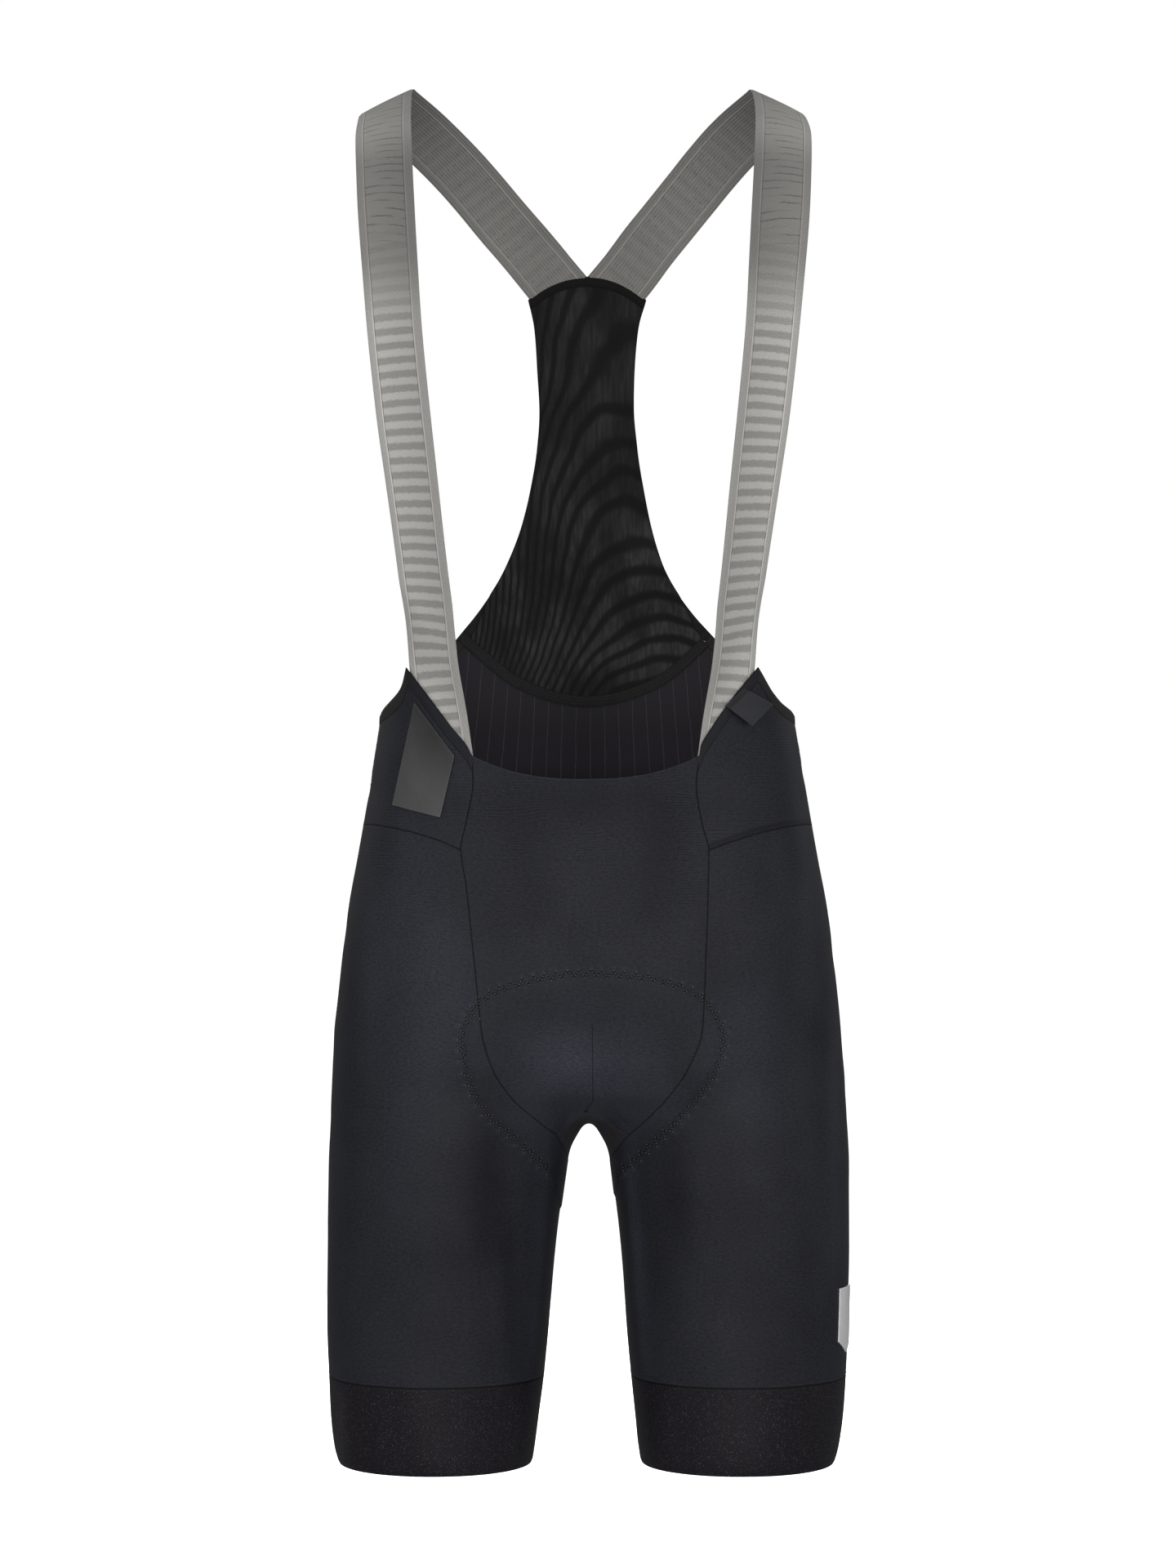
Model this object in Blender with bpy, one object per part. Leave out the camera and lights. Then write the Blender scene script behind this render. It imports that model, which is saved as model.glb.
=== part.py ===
"""Cycling bib shorts, filled out as worn on a general figure, as separate cut and sewn pieces.

Metres, +Z up. The front faces -Y and left means -X. The origin lies midway between the shoulder crests
of the two straps, where the wearer's shoulders hold the garment up.
"""

import math

import bmesh
import bpy
import numpy as np

MM = 0.001

# Driving sizes.
SEAM_GAP = 0.3 * MM
CLOTH = 1.2 * MM
BAND_CLOTH = 1.4 * MM
MESH_CLOTH = 1.0 * MM
EDGE_CLOTH = 1.8 * MM
EDGE_PROUD = 0.3 * MM
TAPE_CLOTH = 1.2 * MM
TAPE_DEPTH = 1.9 * MM
STRAP_CLOTH = 1.6 * MM
LABEL_CLOTH = 1.0 * MM
LABEL_LIFT = 0.4 * MM
BAND_PROUD = 0.1 * MM

STRAP_WIDTH = 41.0 * MM
STRAP_BOW = 0.6 * MM
BINDING_WIDTH = 6.0 * MM
ARMHOLE_BAND_WIDTH = 6.5 * MM
MESH_EDGE_WIDTH = 6.5 * MM
MESH_TOP_BAND_HEIGHT = 11.0 * MM
TAPE_WIDTH = 7.5 * MM

WAIST_HEIGHT = -450.0 * MM
BAND_SEAM_HEIGHT = -865.0 * MM
HEM_HEIGHT = -924.0 * MM
INSEAM_TOP_HEIGHT = -722.0 * MM
GUSSET_RAY_HEIGHT = -750.0 * MM
GUSSET_REACH = 85.0 * MM
FIGURE_REACH = 300.0 * MM

# The figure that fills the cloth, in millimetres. Each level is two rounded lobes, one for each leg, which
# merge into one body above the crotch: their centre, half width, front and back depth, squareness and merge,
# and the drift of the whole level to the right.
FIGURE = (
    ("height", "lobe_x", "half_width", "front", "back", "squareness", "merge", "drift"),
    (-100, 62, 80, 98, 84, 2.3, 180, 0),
    (-200, 64, 82, 108, 92, 2.3, 180, 0),
    (-300, 61, 79, 105, 86, 2.3, 180, 0),
    (-350, 60, 76.5, 98, 76, 2.35, 180, 0),
    (-390, 60, 75.6, 93, 70, 2.4, 180, 0),
    (-422, 61.5, 76.5, 92, 69, 2.4, 180, 0),
    (-452, 65, 78, 93, 73, 2.4, 183, 0.2),
    (-485, 69, 79.5, 95, 82, 2.4, 188, 0.3),
    (-518, 73.5, 80.9, 97, 93, 2.35, 196, 0.3),
    (-551, 78, 82.6, 97, 103, 2.3, 204, 0.4),
    (-584, 81.5, 83.4, 96, 110, 2.3, 210, 0.5),
    (-617, 85, 83.4, 93, 110, 2.25, 212, 0.5),
    (-650, 88.5, 82.6, 89, 104, 2.2, 196, 0.5),
    (-672, 90.4, 82, 87, 98, 2.2, 150, 0.7),
    (-684, 91.6, 81.6, 86, 95, 2.15, 104, 0.9),
    (-694, 92.6, 81, 85, 92, 2.15, 76, 1.1),
    (-705, 93.6, 80.7, 84, 89, 2.1, 65, 1.2),
    (-718, 94.7, 80.3, 83, 87, 2.1, 42, 1.2),
    (-740, 96.2, 79.1, 82.5, 84, 2.1, 12, 1),
    (-766, 98, 77.6, 82, 81, 2.1, 4, 0.8),
    (-799, 99.7, 76.1, 80, 78, 2.1, 4, 0.6),
    (-832, 100.7, 74.6, 78, 75, 2.1, 4, 0.3),
    (-865, 101.5, 72.2, 76, 72, 2.1, 4, 0.2),
    (-898, 102.4, 69.3, 73, 69, 2.1, 4, -0.2),
    (-914, 102.2, 67.3, 71, 67, 2.1, 4, -0.4),
    (-924, 101.6, 65.2, 69, 65, 2.1, 4, -0.4),
)

# Half width of the centre front panel and the drift of its centre line, down the two front seams.
FRONT_SEAM = (
    ("height", "half_width", "drift"),
    (-450, 74.2, -1),
    (-468, 72.6, -1.6),
    (-495, 76.9, -2.1),
    (-511.5, 80.5, -1.6),
    (-535, 78.6, 0),
    (-577, 75.8, 1.6),
    (-606, 73.7, 2.5),
    (-631, 71.5, 3),
    (-655, 63.4, 2),
    (-675, 50.3, 1.5),
    (-688, 38, 2.4),
    (-701, 24.3, 3.4),
)

# Half width of the back panel down the two back seams. The first row is only a guide: the seam starts at
# the armhole band.
BACK_SEAM = (
    ("height", "half_width"),
    (-407, 117),
    (-440, 119),
    (-475, 120),
    (-508, 118),
    (-550, 109),
    (-590, 96),
    (-630, 77),
    (-665, 53),
    (-686, 37),
    (-700, 26),
)

WAIST_DIP = 15.3 * MM
WAIST_DIP_POWER = 2.5
BINDING_END_DROP = 9.3 * MM
GUSSET_FRONT_RISE = 11.0 * MM
GUSSET_BACK_RISE = 13.0 * MM
GUSSET_RISE_POWER = 1.2
GUSSET_SIDE_POWER = 1.5

# The front edge of the side panels, from the apex at the strap down to the waist corner.
BINDING = (
    ("height", "half_width", "drift"),
    (-392, 116, -3.5),
    (-403, 107, -3.9),
    (-415, 97.3, -4.2),
    (-431, 85.4, -3.7),
    (-443.5, 76.4, -2.2),
    (-450, 74.2, -1),
)

# The free edge of the mesh, down its side, in millimetres, and its drift to the right.
MESH_SIDE = (
    ("half_width", "height", "drift"),
    (41.3, -131, 0),
    (36.4, -151, -0.6),
    (34.2, -178, -0.9),
    (33.1, -207, -0.4),
    (35.2, -235, 0),
    (39.8, -264, -0.1),
    (46.1, -292, -0.7),
    (56.4, -321, -1.8),
    (64.6, -336, -1.9),
    (75.4, -351.5, -1.6),
    (87.5, -366, -1),
)
# The free edge of the armhole, between the mesh's lower corner and the front apex. turn is the angle round
# the body from its side, positive to the front, and slant is how much higher the right side is than the
# middle of the two. The back seam meets it at the marked turn.
ARMHOLE_BACK_TURN = -23
ARMHOLE = (
    ("turn", "height", "slant"),
    (-32, -385, 0),
    (-23, -403, 0),
    (-11, -416, 0),
    (0, -421, 0),
    (12.6, -418.7, -0.7),
    (21, -414.5, -1.5),
    (27, -407, -2),
)
# The seam of the mesh and the back panel, between the two lower corners of the mesh.
MESH_SEAM = (
    ("x", "height"),
    (-68, -384),
    (-52, -396.5),
    (-36, -404),
    (-18, -409.5),
    (0, -411.5),
    (18, -409.5),
    (36, -404),
    (52, -396.5),
    (68, -384),
)
# The seam of the side and leg panels, between the front seam and the back seam.
HIP_SEAM = (
    ("turn", "height"),
    (45, -505.2),
    (35.5, -499),
    (27, -496.4),
    (13.3, -495.5),
    (0, -496),
    (-15, -498),
    (-30, -503),
)
HIP_FRONT_HEIGHT = -511.5 * MM
HIP_BACK_HEIGHT = -508.0 * MM
MESH_CROWN_HEIGHT = -114.6 * MM

# The middle line of a strap, from behind the side panel, up the chest, over the shoulder and down the back.
# lean is the way its outer face looks, from 0, forwards, through 90, outwards, to 180, backwards. twist is
# how much further the right strap leans than the middle of the two. tilt is how far the face looks up.
STRAP = (
    ("half_width", "y", "z", "drift", "lean", "twist", "tilt"),
    (85.5, -88, -480, -2.4, 38, 5.5, 0),
    (93, -88, -432, -2.4, 38, 5.5, 0),
    (99.8, -88, -388, -2.4, 37.5, 5.5, 0),
    (101.8, -92, -357, -2.4, 39.8, 4.3, 0),
    (105, -97, -330, -2.4, 39, 3.5, 0),
    (111.2, -104, -278, -2.4, 35.5, 2, 0),
    (117.6, -108, -225, -2.4, 31.3, 1.5, 0),
    (123, -107, -172, -2.4, 29.1, 0.8, 3),
    (126, -103, -132, -2.4, 27, -0.7, 12),
    (128.6, -93, -98, -2.4, 26, -1.5, 23.3),
    (131, -74, -64, -2.4, 29.7, -1.5, 36.7),
    (133, -41, -28, -2.6, 43, -1.5, 52.4),
    (131, -3, -10, -3.6, 90, -3, 65),
    (118, 36, -17, -3.3, 136.5, -7, 55.4),
    (102.5, 58, -29.3, -3, 155.2, -12, 40),
    (87.2, 73, -44, -2.1, 164.6, -13, 31.1),
    (72.7, 84, -60, -1.4, 169.9, -14, 23.6),
    (59, 91, -76, -1.2, 174, -13, 17.4),
    (44.6, 95, -93, -0.9, 177, -10, 11.5),
    (26.8, 98, -115, 0, 180, -4, 5.7),
    (8, 99, -137, 0, 180, 0, 5.7),
)
STRAP_END_COVER = 8.0 * MM
STRAP_END_GAP = 0.8 * MM
STRAP_CUT_REACH = 0.25
# Each end lies flat on the figure, the front one under the binding and just past its edge, and then lets go
# over its fade.
STRAP_HOLD_PAST_EDGE = 3.0 * MM
STRAP_FRONT_FADE = 26.0 * MM
STRAP_BACK_HOLD = 20.0 * MM
STRAP_BACK_FADE = 34.0 * MM
STRAP_DEPTH = 2.5 * MM
STRAP_ROW_CROWDING = 0.04

# Corners of the label patch and of the folded tag on the front of the figure, clockwise from the top. lift
# is how far the tag stands off the cloth.
PATCH = (("x", "height"), (-112.3, -415.5), (-86, -450.5), (-95.1, -490.4), (-126.9, -482.5))
TAG = (
    ("x", "height", "lift"),
    (102.6, -408.6, 0.4),
    (122.4, -417.1, 3.6),
    (110, -431.2, 4.2),
    (91.6, -420.4, 0.4),
)
# The badge on the right leg, by turn round the leg: its two sides, then its top, its lower corners and tip.
BADGE_TURNS = (31.0, 5.0)
BADGE_TOP_HEIGHT = -803.5 * MM
BADGE_CORNER_HEIGHT = -839.0 * MM
BADGE_TIP_HEIGHT = -848.0 * MM

# How finely each piece is divided, and the curves that it is made from.
CURVE_STEPS = 100
EDGE_STEPS = 400
LADDER_STEPS = 6000
LABEL_STEPS = 4
LEG_COLUMNS = 24
FRONT_COLUMNS = 14
MESH_COLUMNS = 10
BACK_WING_COLUMNS = 2
BINDING_ROWS = 5
SIDE_ROWS = 4
SEAT_ROWS = 11
GUSSET_ROWS = 2
LEG_ROWS = 8
BAND_ROWS = 3
MESH_ROWS = 13
STRAP_ROWS = 56
STRAP_COLUMNS = 4


def rows_of(table):
    """The table's rows as an array, without its line of column names."""
    return np.array(table[1:], float)


def slopes(knots, values):
    """Slopes of a cubic through the values that doesn't overshoot them."""
    steps = np.diff(knots)
    rates = np.diff(values, axis=0) / steps[:, None]
    inner = np.zeros((len(knots) - 2, values.shape[1]))
    same_way = rates[:-1] * rates[1:] > 0
    weight_a = (2 * steps[1:] + steps[:-1])[:, None]
    weight_b = (steps[1:] + 2 * steps[:-1])[:, None]
    with np.errstate(divide="ignore", invalid="ignore"):
        mean = (weight_a + weight_b) / (weight_a / rates[:-1] + weight_b / rates[1:])
    inner[same_way] = mean[same_way]
    return np.vstack([rates[:1], inner, rates[-1:]])


def cubic(knots, values, at):
    """The values, given at rising knots, at other places along a smooth cubic."""
    knots = np.asarray(knots, float)
    values = np.asarray(values, float).reshape(len(knots), -1)
    at = np.clip(np.asarray(at, float), knots[0], knots[-1])
    slope = slopes(knots, values)
    cell = np.clip(np.searchsorted(knots, at, side="right") - 1, 0, len(knots) - 2)
    width = (knots[cell + 1] - knots[cell])[..., None]
    t = (at[..., None] - knots[cell][..., None]) / width
    start = values[cell] * (2 * t**3 - 3 * t**2 + 1) + slope[cell] * width * (t**3 - 2 * t**2 + t)
    end = values[cell + 1] * (3 * t**2 - 2 * t**3) + slope[cell + 1] * width * (t**3 - t**2)
    return start + end


FIGURE_ROWS = rows_of(FIGURE)[::-1]


def figure_level(z):
    """Sizes of the figure's lobes at a height, in metres where they are lengths."""
    sizes = cubic(FIGURE_ROWS[:, 0] * MM, FIGURE_ROWS[:, 1:], z)
    lobe_x, half_width, front, back, squareness, merge, drift = np.moveaxis(sizes, -1, 0)
    return lobe_x * MM, half_width * MM, front * MM, back * MM, squareness, merge * MM, drift * MM


def figure_value(points):
    """About the distance of points outside the figure, negative inside."""
    x, y, z = np.moveaxis(points, -1, 0)
    lobe_x, half_width, front, back, squareness, merge, drift = figure_level(z)
    x = x - drift
    depth = np.where(y < 0, front, back)
    across = (np.abs(y) / depth) ** squareness
    size = (half_width + depth) / 2
    left = ((np.abs(x + lobe_x) / half_width) ** squareness + across) ** (1 / squareness)
    right = ((np.abs(x - lobe_x) / half_width) ** squareness + across) ** (1 / squareness)
    left = (left - 1) * size
    right = (right - 1) * size
    near = np.maximum(merge - np.abs(left - right), 0) / merge
    return np.minimum(left, right) - near**3 * merge / 6


def figure_normal(points):
    """Outward directions of the figure's surface at points on it."""
    step = 0.2 * MM
    parts = []
    for axis in range(3):
        shift = np.zeros(3)
        shift[axis] = step
        parts.append(figure_value(points + shift) - figure_value(points - shift))
    gradient = np.stack(parts, -1)
    return gradient / np.linalg.norm(gradient, axis=-1, keepdims=True)


def onto_figure(points):
    """Points moved to the figure's surface along its gradient."""
    points = np.array(points, float)
    step = 0.2 * MM
    for _ in range(8):
        parts = []
        for axis in range(3):
            shift = np.zeros(3)
            shift[axis] = step
            parts.append((figure_value(points + shift) - figure_value(points - shift)) / (2 * step))
        gradient = np.stack(parts, -1)
        length = (gradient**2).sum(-1, keepdims=True)
        points = points - figure_value(points)[..., None] * gradient / np.maximum(length, 0.2)
    return points


def meet(start, direction, reach, inside_first=True):
    """Where rays that start inside the figure leave it, or the other way round."""
    near = np.zeros(start.shape[:-1])
    far = near + reach
    for _ in range(40):
        middle = (near + far) / 2
        inside = figure_value(start + direction * middle[..., None]) < 0
        go_on = inside if inside_first else ~inside
        near = np.where(go_on, middle, near)
        far = np.where(go_on, far, middle)
    return start + direction * near[..., None]


def front_point(x, z, facing=-1.0):
    """The point of the figure's front at a width and height, or of its back with facing 1."""
    x, z = np.broadcast_arrays(np.asarray(x, float), np.asarray(z, float))
    start = np.stack([x, np.zeros_like(x), z], -1)
    direction = np.stack([0 * x, facing + 0 * x, 0 * x], -1)
    return meet(start, direction, FIGURE_REACH)


def back_point(x, z):
    return front_point(x, z, 1.0)


def body_point(side, turn, z):
    """A point by its turn round the middle of the body: 0 at the side, 90 in front, -90 behind."""
    turn, z = np.broadcast_arrays(np.radians(turn), np.asarray(z, float))
    start = np.stack([0 * z, 0 * z, z], -1)
    direction = np.stack([side * np.cos(turn), -np.sin(turn), 0 * z], -1)
    return meet(start, direction, FIGURE_REACH)


def body_turn(side, points):
    return np.degrees(np.arctan2(-points[..., 1], side * points[..., 0]))


def leg_point(side, turn, z):
    """A point by its turn round one leg: 0 outside, 90 in front, 180 at the inseam."""
    turn, z = np.broadcast_arrays(np.radians(turn), np.asarray(z, float))
    level = figure_level(z)
    lobe_x, drift = level[0], level[-1]
    start = np.stack([side * lobe_x + drift, 0 * z, z], -1)
    direction = np.stack([side * np.cos(turn), -np.sin(turn), 0 * z], -1)
    inward = np.maximum(-np.cos(turn), 1e-6)
    return meet(start, direction, np.minimum(lobe_x / inward, FIGURE_REACH))


def leg_turn(side, points):
    level = figure_level(points[..., 2])
    lobe_x, drift = level[0], level[-1]
    return np.degrees(np.arctan2(-points[..., 1], side * (points[..., 0] - drift) - lobe_x))


def gusset_point(y, lean):
    """A point of the crotch by its depth and the lean of a ray from between the legs."""
    y, lean = np.broadcast_arrays(np.asarray(y, float), np.radians(lean))
    start = np.stack([0 * y, y, 0 * y + GUSSET_RAY_HEIGHT], -1)
    direction = np.stack([np.sin(lean), 0 * y, np.cos(lean)], -1)
    return meet(start, direction, GUSSET_REACH, inside_first=False)


def gusset_lean(points):
    return np.degrees(np.arctan2(points[..., 0], points[..., 2] - GUSSET_RAY_HEIGHT))


def along(points, count):
    """The polyline through points, sampled evenly by length into count steps."""
    lengths = np.r_[0, np.cumsum(np.linalg.norm(np.diff(points, axis=0), axis=1))]
    places = np.linspace(0, lengths[-1], count + 1)
    return np.stack([np.interp(places, lengths, points[:, i]) for i in range(points.shape[1])], -1)


def curve(places, place, count):
    """A smooth curve through places that place() takes onto the figure, in count even steps."""
    places = np.asarray(places, float)
    knots = np.arange(len(places))
    fine = cubic(knots, places, np.linspace(0, len(places) - 1, EDGE_STEPS))
    return onto_figure(along(place(fine), count))


def join(*lines):
    """Polylines one after the other, each starting where the last one ends."""
    return np.vstack([lines[0]] + [line[1:] for line in lines[1:]])


def coons(top, bottom, left, right):
    """A grid inside four edges that share their corners. top and bottom run from left to right."""
    u = np.linspace(0, 1, len(top))[None, :, None]
    v = np.linspace(0, 1, len(left))[:, None, None]
    across = left[:, None] * (1 - u) + right[:, None] * u
    down = top[None] * (1 - v) + bottom[None] * v
    corners = (
        top[0] * (1 - u) * (1 - v) + top[-1] * u * (1 - v) + bottom[0] * (1 - u) * v + bottom[-1] * u * v
    )
    return across + down - corners


def panel_grid(edges, to_plane, to_body):
    """A grid on the figure inside four edges, made in a flat plane that to_plane and to_body link to it."""
    return to_body(coons(*[to_plane(edge) for edge in edges]))


def inset(grid, sides):
    """The grid with its named sides drawn in by half a seam gap."""
    grid = grid.copy()
    ends = {"top": (0, 1, 0), "bottom": (-1, -2, 0), "left": (0, 1, 1), "right": (-1, -2, 1)}
    moves = np.zeros_like(grid)
    for side in sides:
        edge, inner, axis = ends[side]
        rows = np.moveaxis(grid, axis, 0)
        line = rows[edge]
        run = np.gradient(line, axis=0)
        run /= np.linalg.norm(run, axis=-1, keepdims=True)
        inward = rows[inner] - line
        inward -= (inward * run).sum(-1, keepdims=True) * run
        inward /= np.linalg.norm(inward, axis=-1, keepdims=True)
        np.moveaxis(moves, axis, 0)[edge] += inward * SEAM_GAP / 2
    return grid + moves


def principled(name, colour, roughness, metallic=0.0):
    material = bpy.data.materials.new(name)
    material.use_nodes = True
    shader = material.node_tree.nodes["Principled BSDF"]
    shader.inputs["Base Color"].default_value = (*colour, 1.0)
    shader.inputs["Roughness"].default_value = roughness
    shader.inputs["Metallic"].default_value = metallic
    material.diffuse_color = (*colour, 1.0)
    return material


def wall(name, grid, normals, proud, thickness, colour, roughness, closed=False):
    """A named cloth wall whose outer face stands proud of the grid, closed at its rims."""
    outer = grid + normals * proud
    inner = grid + normals * (proud - thickness)
    rows, columns = grid.shape[:2]
    points = np.concatenate([outer.reshape(-1, 3), inner.reshape(-1, 3)])
    back = rows * columns

    def at(row, col):
        return row * columns + col % columns

    faces = []
    for row in range(rows - 1):
        for col in range(columns if closed else columns - 1):
            a, b, c, d = at(row, col), at(row, col + 1), at(row + 1, col + 1), at(row + 1, col)
            faces.append((a, b, c, d))
            faces.append((back + d, back + c, back + b, back + a))
    rim = []
    if closed:
        for row in (0, rows - 1):
            rim += [(at(row, col), at(row, col + 1)) for col in range(columns)]
    else:
        loop = [at(0, col) for col in range(columns)]
        loop += [at(row, columns - 1) for row in range(1, rows)]
        loop += [at(rows - 1, col) for col in range(columns - 2, -1, -1)]
        loop += [at(row, 0) for row in range(rows - 2, 0, -1)]
        rim = list(zip(loop, loop[1:] + loop[:1]))
    for a, b in rim:
        faces.append((b, a, back + a, back + b))
    mesh = bpy.data.meshes.new(name)
    mesh.from_pydata(points.tolist(), [], faces)
    shape = bmesh.new()
    shape.from_mesh(mesh)
    bmesh.ops.recalc_face_normals(shape, faces=shape.faces)
    bmesh.ops.triangulate(shape, faces=shape.faces, quad_method="SHORT_EDGE")
    shape.to_mesh(mesh)
    shape.free()
    mesh.shade_smooth()
    mesh.set_sharp_from_angle(angle=math.radians(40))
    mesh.materials.append(principled(name, colour, roughness))
    part = bpy.data.objects.new(name, mesh)
    bpy.context.scene.collection.objects.link(part)
    return part


def unit(vectors):
    return vectors / np.linalg.norm(vectors, axis=-1, keepdims=True)


def offset_edge(edge, width, toward, start=None, end=None):
    """The inner line of a strip along an edge, on the side that holds the point toward. start and end are
    corners that it has to meet."""
    run = unit(np.gradient(edge, axis=0))
    inward = np.cross(figure_normal(edge), run)
    middle = len(edge) // 2
    if (inward[middle] * (toward - edge[middle])).sum() < 0:
        inward = -inward
    line = onto_figure(edge + inward * np.broadcast_to(width, len(edge))[:, None])
    t = np.linspace(0, 1, len(edge))[:, None]
    if start is not None:
        line = line + (start - line[0]) * (1 - t) ** 3
    if end is not None:
        line = line + (end - line[-1]) * t**3
    return onto_figure(line)


def front_seam(side, top, bottom, count):
    """The seam between the front panel and its neighbour, between two heights."""
    rows = rows_of(FRONT_SEAM)[::-1]
    z = np.linspace(top, bottom, CURVE_STEPS)
    half_width, drift = np.moveaxis(cubic(rows[:, 0] * MM, rows[:, 1:] * MM, z), -1, 0)
    return onto_figure(along(front_point(side * half_width + drift, z), count))


def back_seam(side, top, bottom, count, start):
    """The seam between the back panel and its neighbour, from the armhole band's corner start."""
    rows = rows_of(BACK_SEAM)[::-1] * MM
    rows[-1] = start[2], abs(start[0])
    z = np.linspace(top, bottom, CURVE_STEPS)
    half_width = cubic(rows[:, 0], rows[:, 1], z)[..., 0]
    return onto_figure(along(back_point(side * half_width, z), count))


def mitre(corner, edge_a, edge_b, width_a, width_b):
    """Where the inner lines of two strips meet that leave a corner along two edges."""
    run_a = unit(edge_a[1] - corner)
    run_b = unit(edge_b[1] - corner)
    sine = np.linalg.norm(np.cross(run_a, run_b))
    return onto_figure(corner + run_a * width_b / sine + run_b * width_a / sine)


def mesh_crown(x, half_width, end_height):
    """Height of the arc over the top of the mesh."""
    rise = MESH_CROWN_HEIGHT - end_height
    radius = (half_width**2 + rise**2) / (2 * rise)
    return MESH_CROWN_HEIGHT - radius + np.sqrt(radius**2 - x**2)


def side_lines(side):
    """The edges and seams of one side, as polylines on the figure that neighbours share."""
    rows = rows_of(MESH_SIDE) * MM
    mesh_side = curve(rows, lambda q: back_point(side * q[..., 0] + q[..., 2], q[..., 1]), EDGE_STEPS)
    low_corner = mesh_side[-1]
    rows = rows_of(BINDING) * MM
    binding = curve(
        rows, lambda q: front_point(side * q[..., 1] + q[..., 2], q[..., 0]), BINDING_ROWS
    )
    apex = binding[0]
    places = np.vstack(
        [
            [body_turn(side, low_corner), low_corner[2] / MM, 0],
            rows_of(ARMHOLE),
            [body_turn(side, apex), apex[2] / MM, 0],
        ]
    )
    armhole = curve(
        places, lambda q: body_point(side, q[..., 0], (q[..., 1] + side * q[..., 2]) * MM), EDGE_STEPS
    )[::-1]
    split = int(np.argmin(np.abs(body_turn(side, armhole) - ARMHOLE_BACK_TURN)))
    round_side = onto_figure(along(armhole[: split + 1], LEG_COLUMNS))
    wing = onto_figure(along(armhole[split:], BACK_WING_COLUMNS))
    edge = join(round_side, wing)
    inner_apex = mitre(apex, binding, round_side, BINDING_WIDTH, ARMHOLE_BAND_WIDTH)
    front_waist = front_seam(side, WAIST_HEIGHT, WAIST_HEIGHT - BINDING_END_DROP, 1)
    front_upper = front_seam(side, WAIST_HEIGHT - BINDING_END_DROP, HIP_FRONT_HEIGHT, SIDE_ROWS)
    front_lower = front_seam(side, HIP_FRONT_HEIGHT, rows_of(FRONT_SEAM)[-1, 0] * MM, SEAT_ROWS)
    widths = np.linspace(ARMHOLE_BAND_WIDTH, MESH_EDGE_WIDTH, len(edge))
    below = body_point(side, 0.0, HIP_FRONT_HEIGHT)
    band_inner = offset_edge(edge, widths, below, start=inner_apex)
    back_top = band_inner[LEG_COLUMNS]
    back_upper = back_seam(side, back_top[2], HIP_BACK_HEIGHT, BINDING_ROWS + SIDE_ROWS, back_top)
    seat_height = rows_of(BACK_SEAM)[-1, 0] * MM
    back_lower = back_seam(side, HIP_BACK_HEIGHT, seat_height, SEAT_ROWS, back_top)
    hip_places = np.vstack(
        [
            [body_turn(side, front_upper[-1]), HIP_FRONT_HEIGHT / MM],
            rows_of(HIP_SEAM),
            [body_turn(side, back_upper[-1]), HIP_BACK_HEIGHT / MM],
        ]
    )
    hip = curve(hip_places, lambda q: body_point(side, q[..., 0], q[..., 1] * MM), LEG_COLUMNS)
    hip[0], hip[-1] = front_upper[-1], back_upper[-1]
    inseam_z = np.linspace(INSEAM_TOP_HEIGHT, BAND_SEAM_HEIGHT, CURVE_STEPS)
    inseam = onto_figure(along(leg_point(side, 180.0, inseam_z), LEG_ROWS))
    return {
        "mesh_side": mesh_side,
        "binding_edge": binding,
        "binding_inner": offset_edge(
            binding, BINDING_WIDTH, inner_apex, start=inner_apex, end=front_waist[-1]
        ),
        "band_edge": edge,
        "band_inner": band_inner,
        "front_waist": front_waist,
        "front_upper": front_upper,
        "front_lower": front_lower,
        "back_upper": back_upper,
        "back_lower": back_lower,
        "hip": hip,
        "gusset_front": gusset_side(side, front_lower[-1]),
        "gusset_back": gusset_side(side, back_lower[-1]),
        "inseam": inseam,
    }


def gusset_side(side, corner):
    """The gusset's seam round the inside of the leg, from a corner to the top of the inseam."""
    start = leg_turn(side, corner)
    end = 180.0 if start > 0 else -180.0
    turn = np.linspace(start, end, CURVE_STEPS)
    rest = (end - turn) / (end - start)
    z = INSEAM_TOP_HEIGHT + (corner[2] - INSEAM_TOP_HEIGHT) * rest**GUSSET_SIDE_POWER
    return onto_figure(along(leg_point(side, turn, z), GUSSET_ROWS))


def level_plane(points):
    """Width and height of points, for panels that face the front or the back."""
    return points[..., [0, 2]]


def front_panel(left, right):
    x = np.linspace(left["front_waist"][0][0], right["front_waist"][0][0], CURVE_STEPS)
    middle = (x[0] + x[-1]) / 2
    dip = 1 - np.abs((x - middle) / (x[-1] - middle)) ** WAIST_DIP_POWER
    waist = onto_figure(along(front_point(x, WAIST_HEIGHT - WAIST_DIP * dip), FRONT_COLUMNS))
    edges = (
        waist,
        gusset_edge(left, right, "front_lower", GUSSET_FRONT_RISE, -1.0),
        join(left["front_waist"], left["front_upper"], left["front_lower"]),
        join(right["front_waist"], right["front_upper"], right["front_lower"]),
    )
    grid = panel_grid(edges, level_plane, lambda q: front_point(q[..., 0], q[..., 1]))
    return inset(grid, ("bottom", "left", "right"))


def gusset_edge(left, right, seam, rise, facing):
    """The gusset's seam across the front or the back of the crotch."""
    start, end = left[seam][-1], right[seam][-1]
    x = np.linspace(start[0], end[0], CURVE_STEPS + 1)
    side = np.where(x < 0, abs(start[0]), abs(end[0]))
    level = np.linspace(start[2], end[2], CURVE_STEPS + 1)
    z = level + rise * (1 - (np.abs(x) / side) ** GUSSET_RISE_POWER)
    line = onto_figure(along(front_point(x, z, facing), FRONT_COLUMNS))
    line[0], line[-1] = start, end
    return line


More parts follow.
